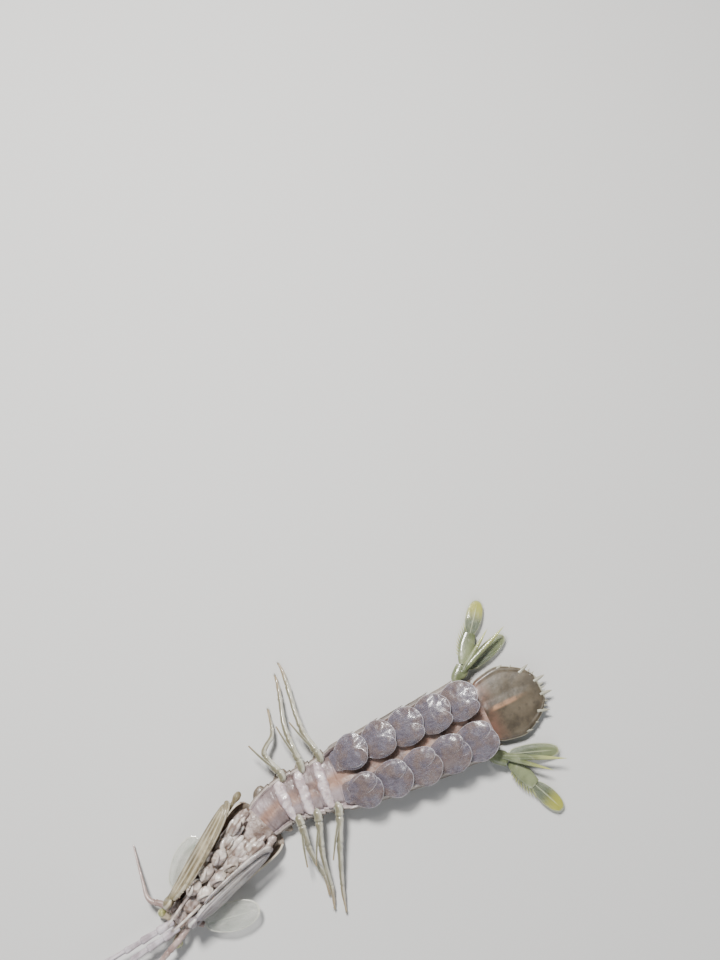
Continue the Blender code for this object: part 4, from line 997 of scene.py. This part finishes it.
PEDUNCLE_JOINTS = (0.0, 7.0, 14.0, 21.0)
WHIPS = ((31.0, 0.07, -0.08), (28.0, 0.02, 0.04), (23.0, -0.02, -0.14))
ANTENNULE_OUT, ANTENNULE_LEVEL = 1.5, 7.2
ANTENNULE_AHEAD = {"right": -1.1, "left": -0.2}
# Along a stout joint: the share of its length, and its width there
PEDUNCLE_SHAPE = ((0.0, 0.62), (0.06, 0.8), (0.4, 0.86), (0.85, 1.05), (0.98, 1.0), (1.03, 0.7))
WHIP_SIZES = ((0.6, 0.6), (0.46, 0.46), (0.2, 0.2))


def feeler_finish(name, low, high):
    """Thin shell, clouded between two colours, with small reddish brown specks."""
    feeler = Finish(name, 0.32)
    cloud = feeler.at.noise(200.0, 4.0)
    colour = cloud.ramp(0.32, 0.66).mixed(low, high)
    colour = (feeler.at.noise(900.0, 2.0).ramp(0.6, 0.7) * 0.3).mixed(colour, rgb(0.25, 0.18, 0.17))
    return feeler.surface(colour, cloud, 0.0002)


antennule_skin = feeler_finish("pale_feeler_shell", rgb(0.36, 0.30, 0.33), rgb(0.62, 0.57, 0.60))
for name, side in SIDES.items():
    feeler_body = new_body()
    root = face_point(side * ANTENNULE_OUT, ANTENNULE_AHEAD[name], ANTENNULE_LEVEL)
    line = FACE_AHEAD + FACE_ACROSS * side * 0.025
    for index, (near, far) in enumerate(zip(PEDUNCLE_JOINTS, PEDUNCLE_JOINTS[1:])):
        wide = 1.55 - 0.17 * index
        stops = []
        for share, swell in PEDUNCLE_SHAPE:
            at = root + line * (near + (far - near) * share)
            stops.append((*at, wide * swell, wide * 0.9 * swell))
        tube(feeler_body, stops, 22, 16)
        brush(feeler_body, root + line * (far - 0.6) + UP * wide * 0.7, line + UP * 0.4, 1.2, 0.3, 14, index)
    end = root + line * PEDUNCLE_JOINTS[-1]
    for length, spread, rise in WHIPS:
        way = (FACE_AHEAD + FACE_ACROSS * side * spread + UP * rise).normalized()
        start = end - FACE_AHEAD * 1.4 + FACE_ACROSS * side * 6.0 * spread + UP * (0.2 + 2.6 * rise)
        tip = start + way * length + FACE_AHEAD * 0.8 - UP * 0.9
        points = (start, start + way * length * 0.5, tip)
        tube(feeler_body, sized(points, WHIP_SIZES), 90, 8, rings_cut=0.10)
    finished(f"first_feeler_{name}", feeler_body, antennule_skin, [f"antennule_{name}"])

# Each second feeler has stout joints and one long whip, and beside it hangs a clear oval blade, stiff at
# its rim and fringed with hairs, which steers the animal as it swims.

FEELERS = {
    "right": ((4.6, 5.6, 6.6), (5.2, 0.2, 7.7), (5.3, -12.0, 7.5), (7.0, -23.0, 5.6), (11.0, -40.0, 2.2)),
    "left": ((-3.8, 5.4, 6.6), (-8.6, 4.4, 6.9), (-14.0, 2.2, 6.8), (-21.0, 5.0, 4.6), (-33.0, 11.0, 1.4)),
}
FEELER_SIZES = ((1.2, 1.0), (1.3, 1.0), (1.0, 0.95), (0.6, 0.6), (0.28, 0.28))
STEM_SIZES = ((0.9, 0.8), (1.2, 0.75), (1.1, 0.65))
HIP_SIZES = ((1.0, 1.0), (0.9, 0.9))
SCALE_STEMS = {
    "right": ((4.1, 8.6, 6.1), (6.6, 8.8, 5.9), (8.8, 9.8, 5.9)),
    "left": ((-4.1, 8.8, 6.0), (-7.0, 9.4, 5.8), (-9.0, 10.6, 5.8)),
}
SCALES = {"right": ((9.0, 10.0, 5.95), (20.9, 28.2, 5.7)), "left": ((-9.2, 10.8, 5.85), (-15.6, 31.0, 5.9))}
SCALE_HALF_WIDTH = 5.5
SCALE_HAIR = 0.7


def scale_finish():
    """Clear as glass with a faint green tint, whitish at its rim and along its rib."""
    glass = Finish("clear_scale", 0.16, Coat_Weight=0.9, Subsurface_Weight=0.0)
    cloud = glass.at.noise(180.0, 3.0)
    colour = cloud.ramp(0.3, 0.7).mixed(rgb(0.46, 0.50, 0.42), rgb(0.66, 0.66, 0.60))
    rim = glass.rim.ramp(0.90, 0.97)
    colour = rim.mixed(colour, rgb(0.66, 0.66, 0.58))
    middle = abs(glass.across)
    rib = middle.ramp(0.07, 0.02) * 0.6
    streaks = glass.place.scaled(14.0, 1.5).noise(3.0)
    clear = 0.30 + 0.66 * rim + 0.35 * streaks.ramp(0.5, 0.7)
    alpha = clear.maths("MAXIMUM", clear, rib)
    return glass.surface(colour, cloud + 0.5 * streaks, 0.0004, None, alpha.capped())


antenna_skin = feeler_finish("brown_feeler_shell", rgb(0.26, 0.18, 0.16), rgb(0.46, 0.36, 0.33))
scale_skin = scale_finish()
for name in SIDES:
    feeler_body = new_body()
    stops = sized(FEELERS[name], FEELER_SIZES)
    tube(feeler_body, stops, 150, 12, joints=((0.115, 0.012), (0.25, 0.012)), rings_cut=0.05)
    tube(feeler_body, sized(SCALE_STEMS[name], STEM_SIZES), 20, 14)
    hip = Vector(FEELERS[name][0]).lerp(Vector(FEELERS[name][1]), 0.3)
    tube(feeler_body, sized((hip, SCALE_STEMS[name][0]), HIP_SIZES), 6, 12)
    finished(f"second_feeler_{name}", feeler_body, antenna_skin, [f"antenna_{name}"])
    scale_body = new_body()
    start, end = (Vector(point) for point in SCALES[name])
    rim = blade(scale_body, start, end, SCALE_HALF_WIDTH, dome=0.5, square=0.9, ripple=0.3)
    fringe(scale_body, rim, start.lerp(end, 0.4), SCALE_HAIR, 120, 6, 0.05)
    finished(f"feeler_blade_{name}", scale_body, scale_skin, [f"antennal_scale_{name}"])

# The great claws fold like a jack-knife: a thick arm lies forward beside the mouth, a long flat palm
# lies back over it, and a toothed finger folds forward again along the palm's edge.

CLAW_STATION = 20.0
CLAW_SLIDE = {"right": 8.0, "left": 6.5}
CLAW_OUT = {"right": 0.0, "left": 1.8}
PALM_LENGTH = {"right": 34.5, "left": 37.0}
PALM_BEARING = {"right": (5.4, 3.4, 0.6), "left": (4.9, 6.6, 1.6)}
PALM_TILT = math.radians(56.0)
PALM_PROFILES = {
    "right": (
        (0.0, 1.5, 1.2), (0.10, 2.7, 1.5), (0.28, 3.5, 1.7), (0.55, 3.6, 1.7), (0.80, 3.1, 1.6),
        (0.93, 2.3, 1.3), (1.0, 1.4, 1.0),
    ),
    "left": (
        (0.0, 1.6, 1.3), (0.10, 3.0, 1.7), (0.28, 4.0, 1.9), (0.55, 4.1, 1.9), (0.80, 3.4, 1.7),
        (0.93, 2.5, 1.4), (1.0, 1.5, 1.1),
    ),
}
FINGER_HINGE = ((1.05, 0.2), (1.035, 2.1))
FINGER_SHARES = (0.965, 0.84, 0.62, 0.38, 0.24, 0.17)
FINGER_SIZES = (
    (1.0, 1.1), (1.2, 1.2), (1.05, 1.1), (1.0, 1.05), (0.85, 0.9), (0.7, 0.75), (0.5, 0.55), (0.05, 0.05),
)
FINGER_CLEARANCE = 1.6
CLAW_TEETH = 8
CLAW_TOOTH_SIZES = ((0.34, 0.42), (0.24, 0.3), (0.05, 0.05))
COMB_TEETH = 52
COMB_FROM, COMB_SPAN = 0.14, 0.76
COMB_TOOTH_RADIUS = 0.12
# The palm's movable spines: the share along it, and their length
PALM_SPINES = ((0.06, 2.0), (0.12, 1.6), (0.20, 1.8))
# The long low ridges of the arm and the palm, as shares across them
ARM_RIDGES = (-0.7, 0.0, 0.7)
PALM_RIDGES = (-0.72, -0.15, 0.5)
# The arm and the wrist: how far out, how far back, level, half width and half depth
CLAW_ARM = (
    (6.6, 31.0, 8.4, 1.0, 1.1), (7.4, 26.0, 8.6, 2.2, 2.2), (7.2, 18.0, 8.7, 2.5, 2.4),
    (6.5, 9.0, 9.1, 2.3, 2.3), (5.6, 3.6, 10.2, 1.7, 1.8),
)
CLAW_WRIST = (
    (5.7, 5.0, 10.0, 1.6, 1.6), (5.3, 1.6, 11.2, 1.9, 2.0), (5.1, 0.7, 13.2, 1.8, 1.9),
    (4.9, 2.2, 15.2, 1.3, 1.4), (5.2, 3.8, 15.4, 0.5, 0.6),
)
# The rounded knuckle behind the left finger's hinge, drawn the same way
KNUCKLE = (
    (11.2, 41.0, 14.2, 1.0, 1.0), (11.6, 44.2, 13.6, 0.85, 0.85), (12.0, 46.4, 13.3, 1.5, 1.4),
    (12.3, 48.2, 13.1, 1.2, 1.1), (12.4, 48.9, 13.0, 0.4, 0.4),
)


def claw_point(name, x, y, z):
    return Vector((SIDES[name] * (x + CLAW_OUT[name]), y + CLAW_SLIDE[name], z))


def claw_stops(name, stops):
    return [(*claw_point(name, *stop[:3]), *stop[3:]) for stop in stops]


def palm_point(name, share, inward=0.0, above=0.0):
    """A point by its share along the palm, its distance towards the finger and its height over the face."""
    side = SIDES[name]
    start, bearing, bowing = PALM_BEARING[name]
    x = start + bearing * share + bowing * share * share
    middle = claw_point(name, x, 3.9 + PALM_LENGTH[name] * share, 14.6 + 1.0 * (1.0 - share) ** 6)
    across = Vector((-side * math.cos(PALM_TILT), 0.0, math.sin(PALM_TILT)))
    face = Vector((side * math.sin(PALM_TILT), 0.0, math.cos(PALM_TILT)))
    return middle + across * inward + face * above


def palm_half_width(name, share):
    profile = PALM_PROFILES[name]
    for (near, near_width, _), (far, far_width, _) in zip(profile, profile[1:]):
        if share <= far:
            return near_width + (far_width - near_width) * (share - near) / (far - near)
    return profile[-1][1]


def claw_finish(name, low, high, tint, edge):
    """Smooth wet shell with long faint streaks and dark blotches, pale along its edges, and with a painted
    highlight along its ridges.
    """
    shell = Finish(name, 0.2, Coat_Weight=0.4, Coat_Roughness=0.08, Subsurface_Weight=0.25)
    cloud = shell.at.noise(130.0, 5.0)
    streaks = shell.place.scaled(5.0, 1.2).noise(3.0, 4.0)
    colour = (cloud * 0.5 + streaks * 0.5).ramp(0.36, 0.62).mixed(low, high)
    colour = (shell.at.noise(55.0, 2.0).ramp(0.48, 0.68) * 0.55).mixed(colour, tint)
    middle = abs(shell.across)
    colour = (middle.ramp(0.86, 0.98) * 0.8).mixed(colour, edge)
    # Painted highlight along the raised ridges
    colour = (shell.rim.ramp(0.1, 0.9) * 0.6).mixed(colour, edge)
    blotch = shell.at.noise(170.0, 5.0, 0.7).ramp(0.50, 0.62) * shell.rim.ramp(0.5, 0.1)
    colour = (blotch * 0.6).mixed(colour, low)
    colour = ((shell.along.ramp(0.90, 0.99) + shell.along.ramp(0.06, 0.01)) * 0.6).mixed(colour, tint)
    return shell.surface(colour, cloud + 0.7 * streaks, 0.0004, 0.12 + 0.25 * cloud)


claw_skins = {
    "right": claw_finish(
        "lilac_claw_shell",
        rgb(0.18, 0.15, 0.14), rgb(0.54, 0.50, 0.48), rgb(0.23, 0.20, 0.23), rgb(0.74, 0.71, 0.67),
    ),
    "left": claw_finish(
        "olive_claw_shell",
        rgb(0.10, 0.075, 0.035), rgb(0.42, 0.36, 0.24), rgb(0.17, 0.14, 0.06), rgb(0.68, 0.62, 0.47),
    ),
}


def skin_ridges(body, vertices, lines, height, breadth):
    """Raises long low ridges on a claw's shell, at shares across it, and marks them on its place, where the
    finish paints a highlight along them.
    """
    place = places(body)
    body.normal_update()
    for vertex in vertices:
        across, along, _ = vertex[place]
        fade = eased(along / 0.12) * eased((1.0 - along) / 0.12)
        ridge = fade * max(hump(across - line, breadth) for line in lines)
        vertex.co += vertex.normal * height * ridge
        vertex[place] = (across, along, ridge)


for name, side in SIDES.items():
    shell = claw_skins[name]
    arm_body = new_body()
    arm = tube(arm_body, claw_stops(name, CLAW_ARM), 60, 32, roundness=0.85)
    skin_ridges(arm_body, arm, ARM_RIDGES, 0.28, 0.10)
    wrist = tube(arm_body, claw_stops(name, CLAW_WRIST), 30, 24, Vector((1.0, 0.0, 0.0)))
    roughen(arm_body, wrist, 1.6, 0.25)
    for turn in (-0.5, 0.5):
        root = claw_point(name, 5.2 + turn, 0.4, 12.0 + turn)
        spike(arm_body, root, Vector((side * 0.2, -0.9, 0.3 * turn)).normalized(), 1.5, 0.4)

    palm_body = new_body()
    face = Vector((side * math.sin(PALM_TILT), 0.0, math.cos(PALM_TILT)))
    stops = [(*palm_point(name, share), wide, deep) for share, wide, deep in PALM_PROFILES[name]]
    stops.append((*palm_point(name, 1.03), 0.7, 0.5))
    palm = tube(palm_body, stops, 90, 44, face, roundness=0.85)
    skin_ridges(palm_body, palm, PALM_RIDGES, 0.32, 0.09)
    for index in range(COMB_TEETH):
        share = COMB_FROM + COMB_SPAN * index / (COMB_TEETH - 1.0)
        root = palm_point(name, share, palm_half_width(name, share) - 0.15, 0.35)
        tip = palm_point(name, share - 0.004, palm_half_width(name, share) + 0.5, 0.45)
        bristle(palm_body, root, tip, COMB_TOOTH_RADIUS)
    for share, length in PALM_SPINES:
        root = palm_point(name, share, palm_half_width(name, share) - 0.3, -0.3)
        way = (palm_point(name, share + 0.03, palm_half_width(name, share) + 2.0, -0.3) - root).normalized()
        spike(palm_body, root, way, length, 0.32)

    finger_body = new_body()
    line = [palm_point(name, share, inward) for share, inward in FINGER_HINGE]
    for share in FINGER_SHARES:
        line.append(palm_point(name, share, palm_half_width(name, share) + FINGER_CLEARANCE))
    tube(finger_body, sized(line, FINGER_SIZES), 80, 18, face)
    for index in range(CLAW_TEETH):
        share = FINGER_SHARES[1] + (FINGER_SHARES[-2] - FINGER_SHARES[1]) * index / (CLAW_TEETH - 1.0)
        edge = palm_half_width(name, share)
        root = palm_point(name, share, edge + FINGER_CLEARANCE - 0.45)
        tip = palm_point(name, share + 0.02, edge + 0.2)
        tube(finger_body, sized((root, root.lerp(tip, 0.5), tip), CLAW_TOOTH_SIZES), 7, 8)
    if name == "left":
        tube(finger_body, claw_stops(name, KNUCKLE), 26, 20)
    for joint, made in (("arm", arm_body), ("palm", palm_body), ("finger", finger_body)):
        node = f"claw_{joint}_{name}"
        finished(f"claw_{joint}_shell_{name}", made, shell, [node], CLAW_STATION)

# Between the claws hang three pairs of small grasping limbs. Each is a folded arm that ends in a round
# flat hand with a bristled edge and a curved hook that closes on it.

HANDS = ((19.6, 2.5, 1.2, 0.4), (26.7, 2.6, 3.3, 0.4), (34.0, 2.7, 5.3, 1.7))
HAND_LEVEL = 15.2
HAND_SHIFT = -1.0
HAND_STAGGER = {"right": 0.0, "left": -1.2}
HAND_RIBS = 4
# A hand from its wrist to its front: how far out, how far along, level, half width and half depth
HAND_PALM = (
    (0.1, 3.6, -0.6, 0.6, 0.5), (0.1, 2.7, -0.3, 1.7, 1.1), (0.0, 0.6, 0.0, 2.55, 1.55),
    (-0.1, -1.7, 0.1, 2.1, 1.3), (-0.2, -3.2, 0.2, 0.6, 0.5),
)
# Its hook from root to tip, drawn the same way
HOOK = (
    (0.0, 0.0, 0.0, 0.7, 0.65), (0.1, 1.2, 1.1, 0.65, 0.5), (0.9, 3.0, 1.5, 0.45, 0.4),
    (2.2, 4.2, 1.0, 0.05, 0.05),
)
HAND_BRISTLES = 30
ARM_LEVEL = 12.6
VEIL_HALF_WIDTH, VEIL_LENGTH = 2.3, 8.6

for name, side in SIDES.items():
    for index, (hand_y, hand_x, arm_x, rise) in enumerate(HANDS):
        limb_body = new_body()
        place = places(limb_body)
        y = hand_y + HAND_STAGGER[name]
        centre = Vector((side * hand_x + HAND_SHIFT, y, HAND_LEVEL))
        palm = [(*(centre + Vector(stop[:3])), *stop[3:]) for stop in mirrored(side, HAND_PALM)]
        hand = tube(limb_body, palm, 44, 32)
        limb_body.normal_update()
        for vertex in hand:
            across, along, _ = vertex[place]
            edge = eased((0.2 - side * across) / 0.8)
            rib = math.sin(2.0 * math.pi * HAND_RIBS * (along + 0.12 * across * side))
            fold = math.sin(9.0 * (vertex.co - centre - Vector((side * 1.5, 2.0, 0.0))).length / 3.0)
            crease = rib * edge * 0.8 + fold * (1.0 - edge)
            vertex.co += vertex.normal * 0.16 * crease
            # The deep parts of its creases are marked below 0, for the painted shade of the finish
            vertex[place] = (across, along, 0.9 * min(crease + 0.35, 0.0))
        roughen(limb_body, hand, 2.4, 0.35, 1.0)
        x = side * arm_x + HAND_SHIFT
        arm = (
            (x, 44.0 + 3.0 * index, ARM_LEVEL - 0.6, 0.5, 0.5),
            (x, 42.0 + 2.6 * index, ARM_LEVEL - 0.3, 1.25, 0.9),
            (x, y + 9.0, ARM_LEVEL, 1.35, 0.9),
            (x, y + 5.0, ARM_LEVEL + rise, 1.15, 0.85),
            (side * hand_x + HAND_SHIFT, y + 2.0, ARM_LEVEL + 2.0, 1.2, 0.8),
        )
        limb = tube(limb_body, arm, 50, 18, joints=((0.66, 0.03),))
        roughen(limb_body, limb, 2.0, 0.45, 2.4)
        hook_root = centre + Vector((-side * 0.7, -2.6, 0.8))
        hook = [(*(hook_root + Vector(stop[:3])), *stop[3:]) for stop in mirrored(side, HOOK)]
        tube(limb_body, hook, 26, 12)
        draw = random.Random(index)
        for step in range(HAND_BRISTLES):
            turn = math.radians(-75.0 + 150.0 * step / (HAND_BRISTLES - 1.0))
            foot = centre + Vector((-side * 2.3 * math.cos(turn), 2.9 * math.sin(turn), 0.3))
            way = Vector((-side * math.cos(turn), math.sin(turn), draw.uniform(0.0, 0.5))).normalized()
            bristle(limb_body, foot, foot + way * draw.uniform(0.6, 0.9))
        # The limb's soft veil, a curled sheet that hangs from its root
        start = Vector((side * (3.6 + 0.8 * index) + HAND_SHIFT, 25.5 + 7.2 * index, 12.4 + 0.4 * index))
        end = start + Vector((side * (1.4 - 2.0 * (index % 2)), VEIL_LENGTH, 1.8))
        lean = side * (38.0 - 24.0 * index)
        veil = blade(
            limb_body, start, end, VEIL_HALF_WIDTH, thick=0.4, dome=1.1, lean=lean, ripple=1.1, sides=44)
        for vertex in veil:
            across, along, rim = vertex[place]
            furrow = math.sin(7.0 * across + 3.0 * along)
            vertex.co += Vector((0.0, 0.0, 0.22 * furrow))
            # Its furrows are marked below 0 for painted shade, and the same mark also darkens its middle,
            # away from the rim
            vertex[place] = (across, along, 0.9 * min(furrow + 0.3, 0.0) - 0.6 * eased((0.9 - rim) / 0.7))
        roughen(limb_body, veil, 1.8, 0.35, 0.8)
        pair = f"{index + 3}_{name}"
        finished(f"grasping_limb_{pair}", limb_body, mouth_skin, [f"maxilliped_{pair}"])

# The walking legs are thin jointed rods of pale shell, rooted at the edge of the breastplates, that hang
# limp to both sides. Each has a slender side branch near its root and ends in a brush of hairs.

LEG_SHARE = 0.66
LEG_PATHS = {
    ("right", 6): ((11.7, -0.9, 7.0), (23.5, 0.2, 3.0), (30.0, -0.9, 1.2)),
    ("right", 7): ((13.3, -3.3, 7.0), (27.2, -4.6, 3.0), (35.0, -6.2, 1.2)),
    ("right", 8): ((13.7, -5.0, 7.2), (27.5, -9.4, 3.2), (36.8, -11.4, 1.2)),
    ("left", 6): ((10.3, -3.0, 8.0), (16.0, 2.6, 5.0), (26.0, 4.6, 1.2)),
    ("left", 7): ((15.3, -1.2, 7.2), (31.0, 1.2, 3.0), (37.6, 1.6, 1.2)),
    ("left", 8): ((13.2, -3.0, 7.4), (35.0, -2.4, 2.2), (41.0, -3.0, 1.2)),
}
LEG_SIZES = ((1.5, 1.3), (1.65, 1.5), (1.15, 1.1), (0.85, 0.8), (0.35, 0.3))
LEG_JOINTS = ((0.13, 0.016), (0.36, 0.018), (0.75, 0.014))
TWIG_LENGTH = 13.0
TWIG_SIZES = ((0.75, 0.75), (0.55, 0.55), (0.3, 0.3))


def leg_finish():
    """Pale greenish white shell, darker along its middle and browner towards its tip."""
    shell = Finish("pale_leg_shell", 0.28, Coat_Weight=0.7, Subsurface_Weight=0.2)
    cloud = shell.at.noise(240.0, 4.0)
    colour = cloud.ramp(0.3, 0.66).mixed(rgb(0.30, 0.29, 0.21), rgb(0.54, 0.53, 0.44))
    middle = abs(shell.across)
    colour = (middle.ramp(0.66, 0.34) * cloud.ramp(0.20, 0.50) * 0.85).mixed(colour, rgb(0.14, 0.125, 0.07))
    colour = (middle.ramp(0.72, 0.90) * 0.7).mixed(colour, rgb(0.66, 0.66, 0.58))
    streaks = shell.place.scaled(1.2, 3.0).noise(3.0)
    colour = (streaks.ramp(0.52, 0.70) * 0.55).mixed(colour, rgb(0.30, 0.24, 0.15))
    colour = (shell.along.ramp(0.70, 0.98) * 0.7).mixed(colour, rgb(0.34, 0.24, 0.13))
    return shell.surface(colour, cloud, 0.0004, 0.2 + 0.25 * cloud)


leg_skin = leg_finish()
for (name, number), path in LEG_PATHS.items():
    side = SIDES[name]
    station = STATION["thorax", number] + LEG_SHARE * THORAX[number]
    root = Vector((side * (THORAX_WIDTHS[number][0] + 0.5), station, THORAX_HEIGHTS[number] * 0.90))
    points = [root] + [Vector((root.x + side * out, station + along, level)) for out, along, level in path]
    leg_body = new_body()
    inside = root - Vector((side * 2.2, 0.6, 0.9))
    shaft = tube(leg_body, sized([inside, *points], LEG_SIZES), 110, 16, joints=LEG_JOINTS)
    roughen(leg_body, shaft, 2.4, 0.22)
    last = (points[-1] - points[-2]).normalized()
    brush(leg_body, points[-1] - last * 0.8, last, 2.0, 0.2, 30, number)
    hip = root.lerp(points[1], 0.30)
    twig_end = hip + (points[1] - root).normalized() * TWIG_LENGTH + Vector((0.0, -2.8, 3.0))
    twig_bend = hip.lerp(twig_end, 0.45) + Vector((0.0, -0.5, 0.6))
    twig = sized((root.lerp(points[1], 0.12), twig_bend, twig_end), TWIG_SIZES)
    tube(leg_body, twig, 40, 10, joints=((0.5, 0.02),))
    leg = f"{number - 5}_{name}"
    finished(f"walking_leg_{leg}", leg_body, leg_skin, [f"leg_{leg}"], station)

# The swimmerets lie shingled along the belly. Each has a short flat stock and two thin wet leaves with
# pale fringed rims, and a tuft of gill filaments grows under the outer one.

SWIMMERET_SLOPE = math.tan(math.radians(12.0))
SWIMMERET_REACH = {1: 15.6, 2: 16.4, 3: 17.2, 4: 17.9, 5: 18.4}
STOCK_SIZES = ((3.4, 0.75), (4.4, 0.8), (4.2, 0.6), (3.4, 0.3))
INNER_LEAF_OUT = 5.0
OUTER_LEAF_HALF_WIDTH, INNER_LEAF_HALF_WIDTH = 6.9, 4.2
LEAF_THICKNESS = 0.5
LEAF_HAIR = 0.4
GILL_COUNT = 14
GILL_SIZES = ((0.25, 0.25), (0.2, 0.2), (0.06, 0.06))


def leaf_finish():
    """Lilac grey wet skin with fine fibres, brownish clouds and a thin pale rim."""
    leaf = Finish("wet_leaf_skin", 0.24, Coat_Weight=0.35, Coat_Roughness=0.1)
    fibres = leaf.place.scaled(14.0, 1.5).noise(2.5, 5.0, 0.6)
    cloud = leaf.at.noise(160.0, 4.0)
    colour = fibres.ramp(0.30, 0.70).mixed(rgb(0.115, 0.10, 0.13), rgb(0.235, 0.21, 0.25))
    colour = (cloud.ramp(0.42, 0.62) * 0.8).mixed(colour, rgb(0.21, 0.155, 0.14))
    colour = (leaf.at.noise(420.0, 3.0).ramp(0.50, 0.70) * 0.45).mixed(colour, rgb(0.11, 0.09, 0.11))
    rim = leaf.rim.ramp(0.965, 0.99)
    colour = (rim * 0.85).mixed(colour, rgb(0.56, 0.53, 0.56))
    wet = leaf.at.noise(500.0, 4.0)
    alpha = 0.62 + 0.30 * rim + 0.12 * fibres.ramp(0.5, 0.7)
    height = 0.25 * fibres + cloud + 0.4 * wet
    return leaf.surface(colour, height, 0.0004, 0.14 + 0.25 * wet, alpha.capped())


def leaf(body, start, end, half_width, dome, lean, ripple, sides, hairs, seed):
    """One thin uneven leaf, with a short fringe round its free rim."""
    skin = blade(
        body, start, end, half_width, LEAF_THICKNESS, dome, lean, narrow=0.22, ripple=ripple, sides=sides)
    roughen(body, skin, 2.4, 0.16)
    fringe(body, skin, start.lerp(end, 0.45), LEAF_HAIR, hairs, seed, 0.25)


leaf_skin = leaf_finish()
for name, side in SIDES.items():
    for number in SWIMMERET_REACH:
        limb_body = new_body()
        front, half_width = STATION["abdomen", number], ABDOMEN_WIDTHS[number][0]
        root = Vector((side * 0.48 * half_width, front + 1.2, 0.92 * ABDOMEN_HEIGHTS[number] + 1.0))
        shoulder = root + Vector((side * 0.6, 4.0, 4.0 * SWIMMERET_SLOPE))
        points = (root, root.lerp(shoulder, 0.5), shoulder, shoulder + Vector((0.0, 0.8, 0.1)))
        stock = tube(limb_body, sized(points, STOCK_SIZES), 24, 28, roundness=0.75)
        roughen(limb_body, stock, 2.0, 0.2)
        start = shoulder + Vector((side * 1.4, -2.4, -0.15))
        length = SWIMMERET_REACH[number] - 1.6
        end = start + Vector((side * 0.4, length, length * SWIMMERET_SLOPE + 0.4))
        leaf(limb_body, start, end, OUTER_LEAF_HALF_WIDTH, 1.0, -side * 9.0, 0.6, 72, 90, number)
        start = Vector((side * INNER_LEAF_OUT, shoulder.y - 2.0, shoulder.z + 0.25))
        length = SWIMMERET_REACH[number] - 3.2
        end = start + Vector((-side * 0.2, length, length * SWIMMERET_SLOPE + 1.1))
        leaf(limb_body, start, end, INNER_LEAF_HALF_WIDTH, 0.7, side * 5.0, 0.5, 56, 60, number + 10)
        draw = random.Random(number)
        for index in range(GILL_COUNT):
            share = index / (GILL_COUNT - 1.0)
            foot = root + Vector((side * (2.2 + 1.2 * share), 0.6 + 3.0 * share, -0.15))
            bend = foot + Vector((side * (1.2 - 0.5 * share), 1.6, -0.5 + draw.uniform(-0.1, 0.1)))
            tip = foot + Vector((side * (1.3 - 0.9 * share), 4.2, -0.4 + draw.uniform(-0.15, 0.1)))
            tube(limb_body, sized((foot, bend, tip), GILL_SIZES), 12, 6)
        limb = f"{number}_{name}"
        finished(f"swimming_limb_{limb}", limb_body, leaf_skin, [f"swimmeret_{limb}"])

# The room: a plain pale matt floor, soft light from two square panels and a pale sky, and the camera high
# above the belly, looking steeply down.

CAMERA_AZIMUTH, CAMERA_ELEVATION = math.radians(56.93), math.radians(75.0)
CAMERA_DISTANCE = 0.4087
CAMERA_TARGET = Vector((-0.1032, 0.0950, 0.006))
LENS, SENSOR_HEIGHT = 35.0, 36.0
FLOOR_SIZE = 3.0
FLOOR_GAP = 0.0002
SKY_STRENGTH = 0.18
# Where each panel hangs, its width, its power in watts and its colour
PANELS = {
    "key_panel": ((-0.45, 0.10, 0.75), 0.16, 14.5, (1.0, 0.98, 0.95)),
    "fill_panel": ((0.60, -0.30, 0.55), 0.60, 2.5, (0.93, 0.96, 1.0)),
}


def floor_finish():
    """Matt pale grey with a very faint cloud."""
    matt = Finish("pale_floor", 0.8, Coat_Weight=0.0, Subsurface_Weight=0.0)
    return matt.surface(matt.at.noise(3.0, 2.0).mixed(rgb(0.62, 0.62, 0.61), rgb(0.66, 0.66, 0.65)))


floor_body = bmesh.new()
bmesh.ops.create_grid(floor_body, x_segments=1, y_segments=1, size=FLOOR_SIZE)
bmesh.ops.translate(floor_body, verts=floor_body.verts, vec=(0.0, 0.0, -FLOOR_GAP))
floor_mesh = bpy.data.meshes.new("floor")
floor_body.to_mesh(floor_mesh)
floor_mesh.materials.append(floor_finish())
floor = bpy.data.objects.new("floor", floor_mesh)
bpy.context.scene.collection.objects.link(floor)

world = bpy.data.worlds.new("soft_room")
world.use_nodes = True
sky = world.node_tree.nodes["Background"]
sky.inputs["Color"].default_value = rgb(0.93, 0.95, 1.0)
sky.inputs["Strength"].default_value = SKY_STRENGTH
bpy.context.scene.world = world

for name, (place, size, watts, colour) in PANELS.items():
    light = bpy.data.lights.new(name, "AREA")
    light.size, light.energy, light.color = size, watts, colour
    lamp = bpy.data.objects.new(name, light)
    lamp.location = place
    lamp.rotation_euler = (-Vector(place)).to_track_quat("-Z", "Y").to_euler()
    bpy.context.scene.collection.objects.link(lamp)

toward = Vector((
    math.sin(CAMERA_AZIMUTH) * math.cos(CAMERA_ELEVATION),
    -math.cos(CAMERA_AZIMUTH) * math.cos(CAMERA_ELEVATION),
    math.sin(CAMERA_ELEVATION),
))
camera_data = bpy.data.cameras.new("camera")
camera_data.lens = LENS
camera_data.sensor_fit = "VERTICAL"
camera_data.sensor_height = SENSOR_HEIGHT
camera = bpy.data.objects.new("camera", camera_data)
camera.location = CAMERA_TARGET + toward * CAMERA_DISTANCE
camera.rotation_euler = (-toward).to_track_quat("-Z", "Y").to_euler()
bpy.context.scene.collection.objects.link(camera)
bpy.context.scene.camera = camera
